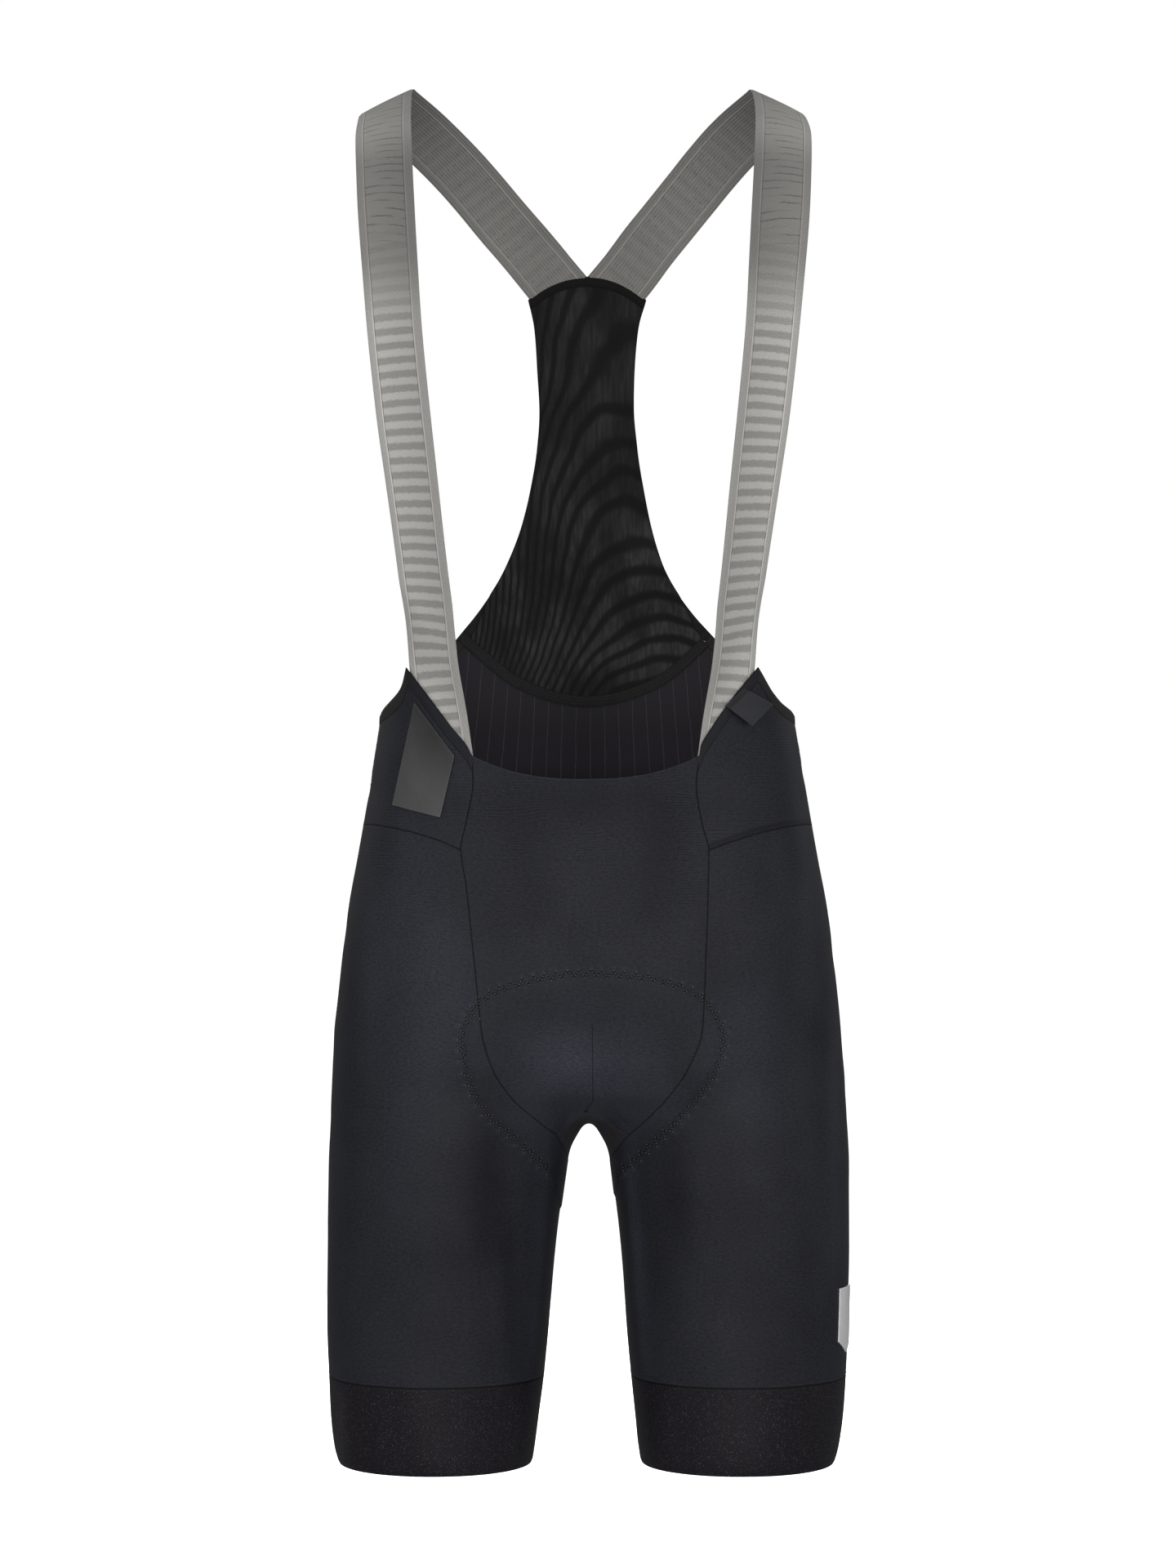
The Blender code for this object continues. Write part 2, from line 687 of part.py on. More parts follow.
def crotch_gusset(left, right):
    sides = [join(lines["gusset_front"], lines["gusset_back"][::-1]) for lines in (left, right)]
    edges = (
        gusset_edge(left, right, "front_lower", GUSSET_FRONT_RISE, -1.0),
        gusset_edge(left, right, "back_lower", GUSSET_BACK_RISE, 1.0),
        sides[0],
        sides[1],
    )
    grid = panel_grid(
        edges,
        lambda p: np.stack([p[..., 1], gusset_lean(p)], -1),
        lambda q: gusset_point(q[..., 0], q[..., 1]),
    )
    return inset(grid, ("top", "bottom", "left", "right"))


def side_panel(side, lines):
    edges = (
        lines["band_inner"][: LEG_COLUMNS + 1],
        lines["hip"],
        join(lines["binding_inner"], lines["front_upper"]),
        lines["back_upper"],
    )
    grid = panel_grid(
        edges,
        lambda p: np.stack([body_turn(side, p), p[..., 2]], -1),
        lambda q: body_point(side, q[..., 0], q[..., 1]),
    )
    return inset(grid, ("top", "bottom", "left", "right"))


def band_loop(side):
    """Turns of even steps round the leg, from the inseam forwards and back to it."""
    turn = np.linspace(180, -180, EDGE_STEPS)
    ring = leg_point(side, turn, BAND_SEAM_HEIGHT)
    lengths = np.r_[0, np.cumsum(np.linalg.norm(np.diff(ring, axis=0), axis=1))]
    return np.interp(np.linspace(0, lengths[-1], LEG_COLUMNS + 1), lengths, turn)


def leg_panel(side, lines):
    front = join(lines["front_lower"], lines["gusset_front"], lines["inseam"])
    back = join(lines["back_lower"], lines["gusset_back"], lines["inseam"])
    hip = lines["hip"]
    turns = band_loop(side)
    grid = coons(
        np.stack([leg_turn(side, hip), hip[:, 2]], -1),
        np.stack([turns, np.full(len(turns), BAND_SEAM_HEIGHT)], -1),
        np.stack([leg_turn(side, front) % 360, front[:, 2]], -1),
        np.stack([leg_turn(side, back) % 360 - 360, back[:, 2]], -1),
    )
    grid = leg_point(side, grid[..., 0], grid[..., 1])
    return inset(grid, ("top", "bottom", "left", "right"))


def leg_band(side):
    turns = band_loop(side)[:-1]
    z = np.linspace(BAND_SEAM_HEIGHT - SEAM_GAP / 2, HEM_HEIGHT, BAND_ROWS + 1)
    return leg_point(side, turns[None], z[:, None])


def mesh_seam(left, right):
    """The seam of the mesh and the back panel, from corner to corner."""
    rows = rows_of(MESH_SEAM) * MM
    places = np.vstack(
        [left["band_inner"][-1][[0, 2]], rows, right["band_inner"][-1][[0, 2]]]
    )
    line = curve(places, lambda q: back_point(q[..., 0], q[..., 1]), MESH_COLUMNS)
    line[0], line[-1] = left["band_inner"][-1], right["band_inner"][-1]
    return line


def back_panel(left, right, seam):
    wing = slice(LEG_COLUMNS, None)
    edges = (
        join(left["band_inner"][wing], seam, right["band_inner"][wing][::-1]),
        gusset_edge(left, right, "back_lower", GUSSET_BACK_RISE, 1.0),
        join(left["back_upper"], left["back_lower"]),
        join(right["back_upper"], right["back_lower"]),
    )
    grid = panel_grid(edges, level_plane, lambda q: back_point(q[..., 0], q[..., 1]))
    return inset(grid, ("top", "bottom", "left", "right"))


def upper_back(left, right, seam):
    """The mesh, its top band and its two side borders, as grids by name."""
    corner = right["mesh_side"][0]
    half_width, end_height = corner[0], corner[2]
    lengths = np.r_[
        0, np.cumsum(np.linalg.norm(np.diff(right["mesh_side"], axis=0), axis=1))
    ]
    cut = int(np.searchsorted(lengths, MESH_TOP_BAND_HEIGHT))
    low_left, low_right = left["mesh_side"][cut], right["mesh_side"][cut]
    inner = 1 - MESH_EDGE_WIDTH / half_width
    across = np.r_[-1, np.linspace(-inner, inner, MESH_COLUMNS + 1), 1]
    crown = mesh_crown(across * half_width, half_width, end_height)
    top = back_point(across * half_width, crown)
    low_x = (low_left[0] + low_right[0] + across * (low_right[0] - low_left[0])) / 2
    bottom = back_point(low_x, crown + low_right[2] - end_height)
    grids = {"mesh_top_band": inset(np.stack([top, bottom]), ("bottom",))}
    middle = back_point(0.0, low_right[2])
    inners = []
    for name, lines, at, end in (
        ("mesh_edge_left", left, 1, seam[0]),
        ("mesh_edge_right", right, -2, seam[-1]),
    ):
        edge = onto_figure(along(lines["mesh_side"][cut:], MESH_ROWS))
        line = offset_edge(edge, MESH_EDGE_WIDTH, middle, start=bottom[at], end=end)
        inners.append(line)
        grids[name] = inset(np.stack([edge, line]), ("bottom", "left", "right"))
    edges = (bottom[1:-1], seam, inners[0], inners[1])
    grid = panel_grid(edges, level_plane, lambda q: back_point(q[..., 0], q[..., 1]))
    grids["back_mesh"] = inset(grid, ("top", "bottom", "left", "right"))
    return grids


def seam_tape(left, right, seam):
    """The tape inside, over the seam of the mesh and the back panel."""
    line = join(left["band_edge"][[-1]], seam, right["band_edge"][[-1]])
    line = onto_figure(along(line, MESH_COLUMNS + 4))
    above = offset_edge(line, TAPE_WIDTH / 2, back_point(0.0, MESH_CROWN_HEIGHT))
    below = offset_edge(line, TAPE_WIDTH / 2, back_point(0.0, HIP_BACK_HEIGHT))
    return np.stack([above, below])


def grid_normals(grid, toward):
    """Directions square to a grid, on the side that toward gives."""
    normals = unit(np.cross(np.gradient(grid, axis=0), np.gradient(grid, axis=1)))
    return np.where((normals * toward).sum(-1, keepdims=True) < 0, -normals, normals)


def strap(side, lines):
    """A strap's outer face as a grid, with its outward directions."""
    rows = rows_of(STRAP)
    fine = cubic(np.arange(len(rows)), rows, np.linspace(0, len(rows) - 1, EDGE_STEPS))
    half_width, y, z, drift, lean, twist, tilt = fine.T
    middle = np.stack([side * half_width + drift, y, z], -1) * MM
    lengths = np.r_[0, np.cumsum(np.linalg.norm(np.diff(middle, axis=0), axis=1))]
    run = unit(np.gradient(middle, axis=0))
    lean, tilt = np.radians(lean + side * twist), np.radians(tilt)
    face = np.stack([side * np.sin(lean) * np.cos(tilt), -np.cos(lean) * np.cos(tilt), np.sin(tilt)], -1)
    face = unit(face - (face * run).sum(-1, keepdims=True) * run)
    across = np.cross(face, run)

    def at(values, length):
        return np.stack([np.interp(length, lengths, values[:, i]) for i in range(3)], -1)

    def place(length, offset):
        bow = STRAP_BOW * (1 - (2 * offset / STRAP_WIDTH) ** 2)[..., None]
        return at(middle, length) + at(across, length) * offset[..., None] + at(face, length) * bow

    offsets = np.linspace(-0.5, 0.5, STRAP_COLUMNS + 1) * STRAP_WIDTH
    ladder = np.linspace(0, lengths[-1], LADDER_STEPS)
    apex, corner = lines["binding_edge"][0], lines["binding_edge"][-1]
    down = unit(corner - apex)[[2, 0]] * [-1, 1]
    down *= -np.sign(down[1])
    top = lines["mesh_side"][0]
    starts, ends = [], []
    for offset in offsets:
        line = place(ladder, np.full(len(ladder), offset))
        below = (line[:, [0, 2]] - apex[[0, 2]]) @ down
        starts.append(ladder[np.argmax(below < STRAP_END_COVER)])
        crown = mesh_crown(np.clip(line[:, 0], -abs(top[0]), abs(top[0])), abs(top[0]), top[2])
        past = (line[:, 2] < crown + STRAP_END_GAP) | (side * line[:, 0] < SEAM_GAP)
        ends.append(ladder[np.argmax(past & (line[:, 1] > 0))])
    starts, ends = np.array(starts), np.array(ends)
    u = np.linspace(0, 1, STRAP_ROWS + 1)[:, None]
    u = u - STRAP_ROW_CROWDING * np.sin(2 * np.pi * u)
    length = starts.mean() + (ends.mean() - starts.mean()) * u
    length = length + (starts - starts.mean()) * np.maximum(1 - u / STRAP_CUT_REACH, 0) ** 2
    length = length + (ends - ends.mean()) * np.maximum(1 - (1 - u) / STRAP_CUT_REACH, 0) ** 2
    grid = place(length, np.broadcast_to(offsets, length.shape))
    toward = at(face, length)
    above = -(grid[..., [0, 2]] - apex[[0, 2]]) @ down
    front_hold = np.clip(1 - (above - STRAP_HOLD_PAST_EDGE) / STRAP_FRONT_FADE, 0, 1)[..., None]
    back_hold = np.clip(1 - (ends - length - STRAP_BACK_HOLD) / STRAP_BACK_FADE, 0, 1)[..., None]
    facing = np.where(front_hold[..., 0] > 0, -1.0, 1.0)
    held = front_point(grid[..., 0], grid[..., 2], facing)
    held = held - figure_normal(held) * STRAP_DEPTH * (front_hold > 0)
    hold = front_hold + back_hold
    hold = hold * hold * (3 - 2 * hold)
    grid = grid * (1 - hold) + held * hold
    return grid, grid_normals(grid, toward)


def label(table):
    """A four-cornered label as a grid of its table's values, from corners clockwise from the top left."""
    top_left, top_right, bottom_right, bottom_left = rows_of(table) * MM
    u = np.linspace(0, 1, LABEL_STEPS + 1)[None, :, None]
    v = np.linspace(0, 1, LABEL_STEPS + 1)[:, None, None]
    top = top_left * (1 - u) + top_right * u
    bottom = bottom_left * (1 - u) + bottom_right * u
    return top * (1 - v) + bottom * v


def badge():
    u = np.linspace(0, 1, LABEL_STEPS + 1)[None]
    v = np.linspace(0, 1, LABEL_STEPS + 1)[:, None]
    bottom = BADGE_CORNER_HEIGHT + (BADGE_TIP_HEIGHT - BADGE_CORNER_HEIGHT) * (1 - np.abs(2 * u - 1))
    turn = BADGE_TURNS[0] + (BADGE_TURNS[1] - BADGE_TURNS[0]) * u
    return leg_point(1, turn + 0 * v, BADGE_TOP_HEIGHT * (1 - v) + bottom * v)


LYCRA = ((0.027, 0.028, 0.034), 0.62)
BACK_KNIT = ((0.017, 0.015, 0.019), 0.65)
BAND_KNIT = ((0.018, 0.016, 0.019), 0.5)
TRIM = ((0.009, 0.009, 0.010), 0.7)
NET = ((0.010, 0.010, 0.011), 0.6)
WEBBING = ((0.29, 0.285, 0.27), 0.8)
SATIN = ((0.075, 0.074, 0.074), 0.45)
TAG_CLOTH = ((0.03, 0.03, 0.032), 0.55)
REFLECTIVE = ((0.36, 0.35, 0.355), 0.35)


def build():
    for thing in list(bpy.data.objects):
        bpy.data.objects.remove(thing)
    left, right = side_lines(-1), side_lines(1)
    seam = mesh_seam(left, right)
    holder = bpy.data.objects.new("bib_shorts", None)
    bpy.context.scene.collection.objects.link(holder)

    def cloth(name, grid, look, proud=0.0, thickness=CLOTH, normals=None, closed=False):
        if normals is None:
            normals = figure_normal(grid)
        part = wall(name, grid, normals, proud, thickness, *look, closed=closed)
        part.parent = holder

    cloth("front_panel", front_panel(left, right), LYCRA)
    cloth("crotch_gusset", crotch_gusset(left, right), BACK_KNIT)
    cloth("back_panel", back_panel(left, right, seam), BACK_KNIT)
    for name, grid in upper_back(left, right, seam).items():
        if name == "back_mesh":
            cloth(name, grid, NET, thickness=MESH_CLOTH)
        else:
            cloth(name, grid, TRIM, EDGE_PROUD, EDGE_CLOTH)
    cloth("back_seam_tape", seam_tape(left, right, seam), TRIM, -TAPE_DEPTH, TAPE_CLOTH)
    for side, name, lines in ((-1, "left", left), (1, "right", right)):
        cloth("side_panel_" + name, side_panel(side, lines), LYCRA)
        cloth("leg_panel_" + name, leg_panel(side, lines), LYCRA)
        cloth("leg_band_" + name, leg_band(side), BAND_KNIT, BAND_PROUD, BAND_CLOTH, closed=True)
        binding = np.stack([lines["binding_edge"], lines["binding_inner"]])
        binding = inset(binding, ("bottom", "left", "right"))
        cloth("front_binding_" + name, binding, TRIM, EDGE_PROUD, EDGE_CLOTH)
        band = inset(np.stack([lines["band_edge"], lines["band_inner"]]), ("bottom", "left", "right"))
        cloth("armhole_band_" + name, band, TRIM, EDGE_PROUD, EDGE_CLOTH)
        grid, normals = strap(side, lines)
        cloth("strap_" + name, grid, WEBBING, 0.0, STRAP_CLOTH, normals)
    patch = label(PATCH)
    patch = front_point(patch[..., 0], patch[..., 1])
    cloth("label_patch", patch, SATIN, LABEL_CLOTH + LABEL_LIFT, LABEL_CLOTH)
    tag = label(TAG)
    lift = tag[..., 2:] + LABEL_LIFT
    tag = front_point(tag[..., 0], tag[..., 1])
    cloth("folded_tag", tag, TAG_CLOTH, LABEL_CLOTH + lift, LABEL_CLOTH)
    cloth("leg_badge", badge(), REFLECTIVE, LABEL_CLOTH + LABEL_LIFT, LABEL_CLOTH)


build()
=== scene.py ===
import math

import bmesh
import bpy
import numpy as np
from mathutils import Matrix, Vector


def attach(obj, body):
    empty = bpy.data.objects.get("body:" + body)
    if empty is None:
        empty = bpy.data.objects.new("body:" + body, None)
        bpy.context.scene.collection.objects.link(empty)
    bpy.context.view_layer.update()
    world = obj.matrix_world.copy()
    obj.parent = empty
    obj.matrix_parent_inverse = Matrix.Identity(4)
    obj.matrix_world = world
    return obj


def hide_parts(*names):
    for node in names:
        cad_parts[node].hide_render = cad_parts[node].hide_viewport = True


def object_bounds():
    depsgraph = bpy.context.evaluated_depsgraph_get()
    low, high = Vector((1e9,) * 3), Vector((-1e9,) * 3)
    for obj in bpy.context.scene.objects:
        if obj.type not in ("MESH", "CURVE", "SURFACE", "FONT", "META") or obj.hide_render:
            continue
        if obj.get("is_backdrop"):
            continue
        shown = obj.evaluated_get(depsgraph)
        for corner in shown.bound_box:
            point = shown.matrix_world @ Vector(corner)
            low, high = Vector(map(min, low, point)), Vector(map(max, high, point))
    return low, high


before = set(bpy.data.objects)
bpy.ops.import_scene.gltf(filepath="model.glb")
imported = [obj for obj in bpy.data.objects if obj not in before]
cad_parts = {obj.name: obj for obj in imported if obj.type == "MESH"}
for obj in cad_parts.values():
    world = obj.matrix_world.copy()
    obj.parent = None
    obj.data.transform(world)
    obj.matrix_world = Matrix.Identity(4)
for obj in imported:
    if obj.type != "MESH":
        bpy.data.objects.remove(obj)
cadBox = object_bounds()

print("frame loaded:", len(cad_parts), "CAD pieces")

# lengths are in millimetres here, and become metres when a mesh is made
# the front faces -y, and left means -x

figure = {  # the body that fills the cloth: two rounded lobes at each height, merged above the crotch
    "rows": (  # height, x of the lobe, half width, front, back, squareness, merge, drift
        (-100, 62, 80, 98, 84, 2.3, 180, 0), (-200, 64, 82, 108, 92, 2.3, 180, 0),
        (-300, 61, 79, 105, 86, 2.3, 180, 0), (-350, 60, 76.5, 98, 76, 2.35, 180, 0),
        (-390, 60, 75.6, 93, 70, 2.4, 180, 0), (-422, 61.5, 76.5, 92, 69, 2.4, 180, 0),
        (-452, 65, 78, 93, 73, 2.4, 183, 0.2), (-485, 69, 79.5, 95, 82, 2.4, 188, 0.3),
        (-518, 73.5, 80.9, 97, 93, 2.35, 196, 0.3), (-551, 78, 82.6, 97, 103, 2.3, 204, 0.4),
        (-584, 81.5, 83.4, 96, 110, 2.3, 210, 0.5), (-617, 85, 83.4, 93, 110, 2.25, 212, 0.5),
        (-650, 88.5, 82.6, 89, 104, 2.2, 196, 0.5), (-672, 90.4, 82, 87, 98, 2.2, 150, 0.7),
        (-684, 91.6, 81.6, 86, 95, 2.15, 104, 0.9), (-694, 92.6, 81, 85, 92, 2.15, 76, 1.1),
        (-705, 93.6, 80.7, 84, 89, 2.1, 65, 1.2), (-718, 94.7, 80.3, 83, 87, 2.1, 42, 1.2),
        (-740, 96.2, 79.1, 82.5, 84, 2.1, 12, 1), (-766, 98, 77.6, 82, 81, 2.1, 4, 0.8),
        (-799, 99.7, 76.1, 80, 78, 2.1, 4, 0.6), (-832, 100.7, 74.6, 78, 75, 2.1, 4, 0.3),
        (-865, 101.5, 72.2, 76, 72, 2.1, 4, 0.2), (-898, 102.4, 69.3, 73, 69, 2.1, 4, -0.2),
        (-914, 102.2, 67.3, 71, 67, 2.1, 4, -0.4), (-924, 101.6, 65.2, 69, 65, 2.1, 4, -0.4),
    ),
    "reach": 300, "step": 0.2, "pulls": 8, "leastSlope": 0.2, "halvings": 32,
}
divisions = {  # how finely each way across and along the pieces is cut up
    "leg": 96, "front": 84, "mesh": 48, "wing": 8, "binding": 24, "waist": 7, "side": 22, "seat": 77,
    "gusset": 14, "inseam": 52, "band": 26, "meshSide": 84, "strapRows": 420, "strapColumns": 24,
    "curve": 400, "ladder": 6000, "trim": 5, "label": 20, "stroke": 6, "sewnLine": 600, "coarse": 5,
    "ring": 260,
}

allSides = ("top", "bottom", "left", "right")


def stack(*parts):
    return np.stack(np.broadcast_arrays(*parts), -1)


def apart(points):
    return np.moveaxis(points, -1, 0)


def mix(start, end, t):
    return start * (1 - t) + end * t


def unit(vectors):
    return vectors / np.linalg.norm(vectors, axis=-1, keepdims=True)


def smooth(values, low, high):
    t = np.clip((values - low) / (high - low), 0, 1)
    return t * t * (3 - 2 * t)


def cubic(knots, values, at):  # values at rising knots, read along a smooth curve that doesn't overshoot
    knots = np.asarray(knots, float)
    values = np.asarray(values, float).reshape(len(knots), -1)
    at = np.clip(np.asarray(at, float), knots[0], knots[-1])
    steps = np.diff(knots)
    rates = np.diff(values, axis=0) / steps[:, None]
    inner = np.zeros((len(knots) - 2, values.shape[1]))
    sameWay = rates[:-1] * rates[1:] > 0
    weightA = (2 * steps[1:] + steps[:-1])[:, None]
    weightB = (steps[1:] + 2 * steps[:-1])[:, None]
    with np.errstate(divide="ignore", invalid="ignore"):
        mean = (weightA + weightB) / (weightA / rates[:-1] + weightB / rates[1:])
    inner[sameWay] = mean[sameWay]
    slope = np.vstack([rates[:1], inner, rates[-1:]])
    cell = np.clip(np.searchsorted(knots, at, side="right") - 1, 0, len(knots) - 2)
    width = (knots[cell + 1] - knots[cell])[..., None]
    t = (at[..., None] - knots[cell][..., None]) / width
    start = values[cell] * (2 * t**3 - 3 * t**2 + 1) + slope[cell] * width * (t**3 - 2 * t**2 + t)
    end = values[cell + 1] * (3 * t**2 - 2 * t**3) + slope[cell + 1] * width * (t**3 - t**2)
    return start + end


figureRows = np.array(figure["rows"], float)[::-1]


def figureLevel(z):
    return apart(cubic(figureRows[:, 0], figureRows[:, 1:], z))


def figureValue(points):  # about how far outside the figure the points are
    x, y, z = apart(points)
    lobeX, halfWidth, front, back, squareness, merge, drift = figureLevel(z)
    x = x - drift
    depth = np.where(y < 0, front, back)
    across = (np.abs(y) / depth) ** squareness
    size = (halfWidth + depth) / 2
    left, right = (
        (((np.abs(x + lobe) / halfWidth) ** squareness + across) ** (1 / squareness) - 1) * size
        for lobe in (lobeX, -lobeX)
    )
    near = np.maximum(merge - np.abs(left - right), 0) / merge
    return np.minimum(left, right) - near**3 * merge / 6


def figureSlope(points):
    steps = np.eye(3) * figure["step"]
    rises = [figureValue(points + step) - figureValue(points - step) for step in steps]
    return stack(*rises) / (2 * figure["step"])


def figureNormal(points):
    return unit(figureSlope(points))


def ontoFigure(points):
    points = np.array(points, float)
    for _ in range(figure["pulls"]):
        slope = figureSlope(points)
        size = (slope**2).sum(-1, keepdims=True)
        points = points - figureValue(points)[..., None] * slope / np.maximum(size, figure["leastSlope"])
    return points


def meet(start, direction, reach, insideFirst=True):  # where a ray crosses the figure
    near = np.zeros(start.shape[:-1])
    far = near + reach
    for _ in range(figure["halvings"]):
        middle = (near + far) / 2
        inside = figureValue(start + direction * middle[..., None]) < 0
        goOn = inside if insideFirst else ~inside
        near, far = np.where(goOn, middle, near), np.where(goOn, far, middle)
    return start + direction * near[..., None]


def frontPoint(x, z, facing=-1.0):
    return meet(stack(x, 0.0, z), stack(0.0, facing, 0.0), figure["reach"])


def backPoint(x, z):
    return frontPoint(x, z, 1.0)


facePoint = {"front": frontPoint, "back": backPoint}


def bodyPoint(side, turn, z):  # turn round the body: 0 at the side, 90 in front
    turn = np.radians(turn)
    return meet(stack(0.0, 0.0, z), stack(side * np.cos(turn), -np.sin(turn), 0.0), figure["reach"])


def bodyTurn(side, points):
    return np.degrees(np.arctan2(-points[..., 1], side * points[..., 0]))


def legPoint(side, turn, z):  # turn round one leg: 0 outside, 90 in front, 180 at the inseam
    turn, z = np.radians(turn), np.asarray(z, float)
    lobeX, *_, drift = figureLevel(z)
    direction = stack(side * np.cos(turn), -np.sin(turn), 0.0)
    inward = np.maximum(-np.cos(turn), 1e-6)
    return meet(stack(side * lobeX + drift, 0.0, z), direction, np.minimum(lobeX / inward, figure["reach"]))


def legTurn(side, points):
    lobeX, *_, drift = figureLevel(points[..., 2])
    return np.degrees(np.arctan2(-points[..., 1], side * (points[..., 0] - drift) - lobeX))


gussetRay = {"height": -750, "reach": 85}


def gussetPoint(y, lean):  # a ray up from between the legs
    lean = np.radians(lean)
    start = stack(0.0, y, gussetRay["height"])
    return meet(start, stack(np.sin(lean), 0.0, np.cos(lean)), gussetRay["reach"], insideFirst=False)


def gussetLean(points):
    return np.degrees(np.arctan2(points[..., 0], points[..., 2] - gussetRay["height"]))


# seams, edges and grids

seams = {
    "front": (  # height, half width, drift
        (-450, 74.2, -1), (-468, 72.6, -1.6), (-495, 76.9, -2.1), (-511.5, 80.5, -1.6), (-535, 78.6, 0),
        (-577, 75.8, 1.6), (-606, 73.7, 2.5), (-631, 71.5, 3), (-655, 63.4, 2), (-675, 50.3, 1.5),
        (-688, 38, 2.4), (-701, 24.3, 3.4),
    ),
    "back": (  # height, half width
        (-407, 117), (-440, 119), (-475, 120), (-508, 118), (-550, 109), (-590, 96), (-630, 77), (-665, 53),
        (-686, 37), (-700, 26),
    ),
    "binding": (  # height, half width, drift, from the strap down to the waist corner
        (-392, 116, -3.5), (-403, 107, -3.9), (-415, 97.3, -4.2), (-431, 85.4, -3.7), (-443.5, 76.4, -2.2),
        (-450, 74.2, -1),
    ),
    "meshSide": (  # half width, height, drift
        (41.3, -131, 0), (36.4, -151, -0.6), (34.2, -178, -0.9), (33.1, -207, -0.4), (35.2, -235, 0),
        (39.8, -264, -0.1), (46.1, -292, -0.7), (56.4, -321, -1.8), (64.6, -336, -1.9), (75.4, -351.5, -1.6),
        (87.5, -366, -1),
    ),
    "armhole": (  # turn, height, slant
        (-32, -385, 0), (-23, -403, 0), (-11, -416, 0), (0, -421, 0), (12.6, -418.7, -0.7),
        (21, -414.5, -1.5), (27, -407, -2),
    ),
    "mesh": (  # x, height
        (-68, -384), (-52, -396.5), (-36, -404), (-18, -409.5), (0, -411.5), (18, -409.5), (36, -404),
        (52, -396.5), (68, -384),
    ),
    "hip": (  # turn, height
        (45, -505.2), (35.5, -499), (27, -496.4), (13.3, -495.5), (0, -496), (-15, -498), (-30, -503),
    ),
    "gap": 0.3, "waist": -450, "waistDip": 15.3, "waistDipPower": 2.5, "bindingDrop": 9.3, "hipFront": -511.5,
    "hipBack": -508, "armholeBackTurn": -23, "crown": -114.6, "inseamTop": -722, "band": -865, "hem": -924,
    "gussetFrontRise": 12.8, "gussetBackRise": 13, "gussetRisePower": 1.2, "gussetSidePower": 1.5,
}
trims = {  # widths of the narrow pieces
    "binding": 6, "armhole": 6.5, "meshEdge": 6.5, "meshTop": 7.4, "meshUnder": 4, "tape": 7.5,
    "overlap": 0.8,  # how far a band laps over the panel that it is sewn to
    "borderLap": 1.2,  # and a mesh border over the mesh
    "meshIn": 0.006,  # the mesh lies this share of the way inside its borders
    "meshInEnds": 0.84,  # down to here along them
}


def running(points):  # the length along a line, at each of its points
    return np.r_[0, np.cumsum(np.linalg.norm(np.diff(points, axis=0), axis=1))]


def read(at, lengths, points):
    return np.stack([np.interp(at, lengths, part) for part in points.T], -1)


def along(points, count):
    lengths = running(points)
    return read(np.linspace(0, lengths[-1], count + 1), lengths, points)


def evenly(points, count):
    return ontoFigure(along(points, count))


def dense(rows):  # a smooth line through rows of places
    rows = np.asarray(rows, float)
    return cubic(np.arange(len(rows)), rows, np.linspace(0, len(rows) - 1, divisions["curve"]))


def join(*lines):
    return np.vstack([lines[0]] + [line[1:] for line in lines[1:]])


def coons(top, bottom, left, right):  # a grid inside four edges that share their corners
    u = np.linspace(0, 1, len(top))[None, :, None]
    v = np.linspace(0, 1, len(left))[:, None, None]
    across, down = mix(left[:, None], right[:, None], u), mix(top[None], bottom[None], v)
    ends = top[0] * (1 - u) * (1 - v) + top[-1] * u * (1 - v)
    return across + down - (ends + bottom[0] * (1 - u) * v + bottom[-1] * u * v)


def inset(grid, sides=allSides, by=None):  # named sides drawn in by half a seam gap, or by this much
    grid = grid.copy()
    ends = {"top": (0, 1, 0), "bottom": (-1, -2, 0), "left": (0, 1, 1), "right": (-1, -2, 1)}
    moves = np.zeros_like(grid)
    for side in sides:
        edge, inner, axis = ends[side]
        rows = np.moveaxis(grid, axis, 0)
        run = unit(np.gradient(rows[edge], axis=0))
        inward = rows[inner] - rows[edge]
        inward -= (inward * run).sum(-1, keepdims=True) * run
        np.moveaxis(moves, axis, 0)[edge] += unit(inward) * (seams["gap"] / 2 if by is None else by)
    return grid + moves


def offsetEdge(edge, width, toward, start=None, end=None):  # the inner line of a strip along an edge
    run = unit(np.gradient(edge, axis=0))
    inward = np.cross(figureNormal(edge), run)
    middle = len(edge) // 2
    if (inward[middle] * (toward - edge[middle])).sum() < 0:
        inward = -inward
    line = ontoFigure(edge + inward * np.broadcast_to(width, len(edge))[:, None])
    t = np.linspace(0, 1, len(edge))[:, None]
    if start is not None:
        line = line + (start - line[0]) * (1 - t) ** 3
    if end is not None:
        line = line + (end - line[-1]) * t**3
    return ontoFigure(line)


def strip(edge, inner):
    t = np.linspace(0, 1, divisions["trim"] + 1)[:, None, None]
    return ontoFigure(mix(edge[None], inner[None], t))


def frontSeam(side, top, bottom, count):
    rows = np.array(seams["front"], float)[::-1]
    z = np.linspace(top, bottom, divisions["curve"])
    halfWidth, drift = apart(cubic(rows[:, 0], rows[:, 1:], z))
    return evenly(frontPoint(side * halfWidth + drift, z), count)


def backSeam(side, top, bottom, count, start):
    rows = np.array(seams["back"], float)[::-1]
    rows[-1] = start[2], abs(start[0])
    z = np.linspace(top, bottom, divisions["curve"])
    return evenly(backPoint(side * cubic(rows[:, 0], rows[:, 1], z)[..., 0], z), count)


def mitre(corner, edgeA, edgeB, widthA, widthB):
    runA, runB = unit(edgeA[1] - corner), unit(edgeB[1] - corner)
    sine = np.linalg.norm(np.cross(runA, runB))
    return ontoFigure(corner + runA * widthB / sine + runB * widthA / sine)


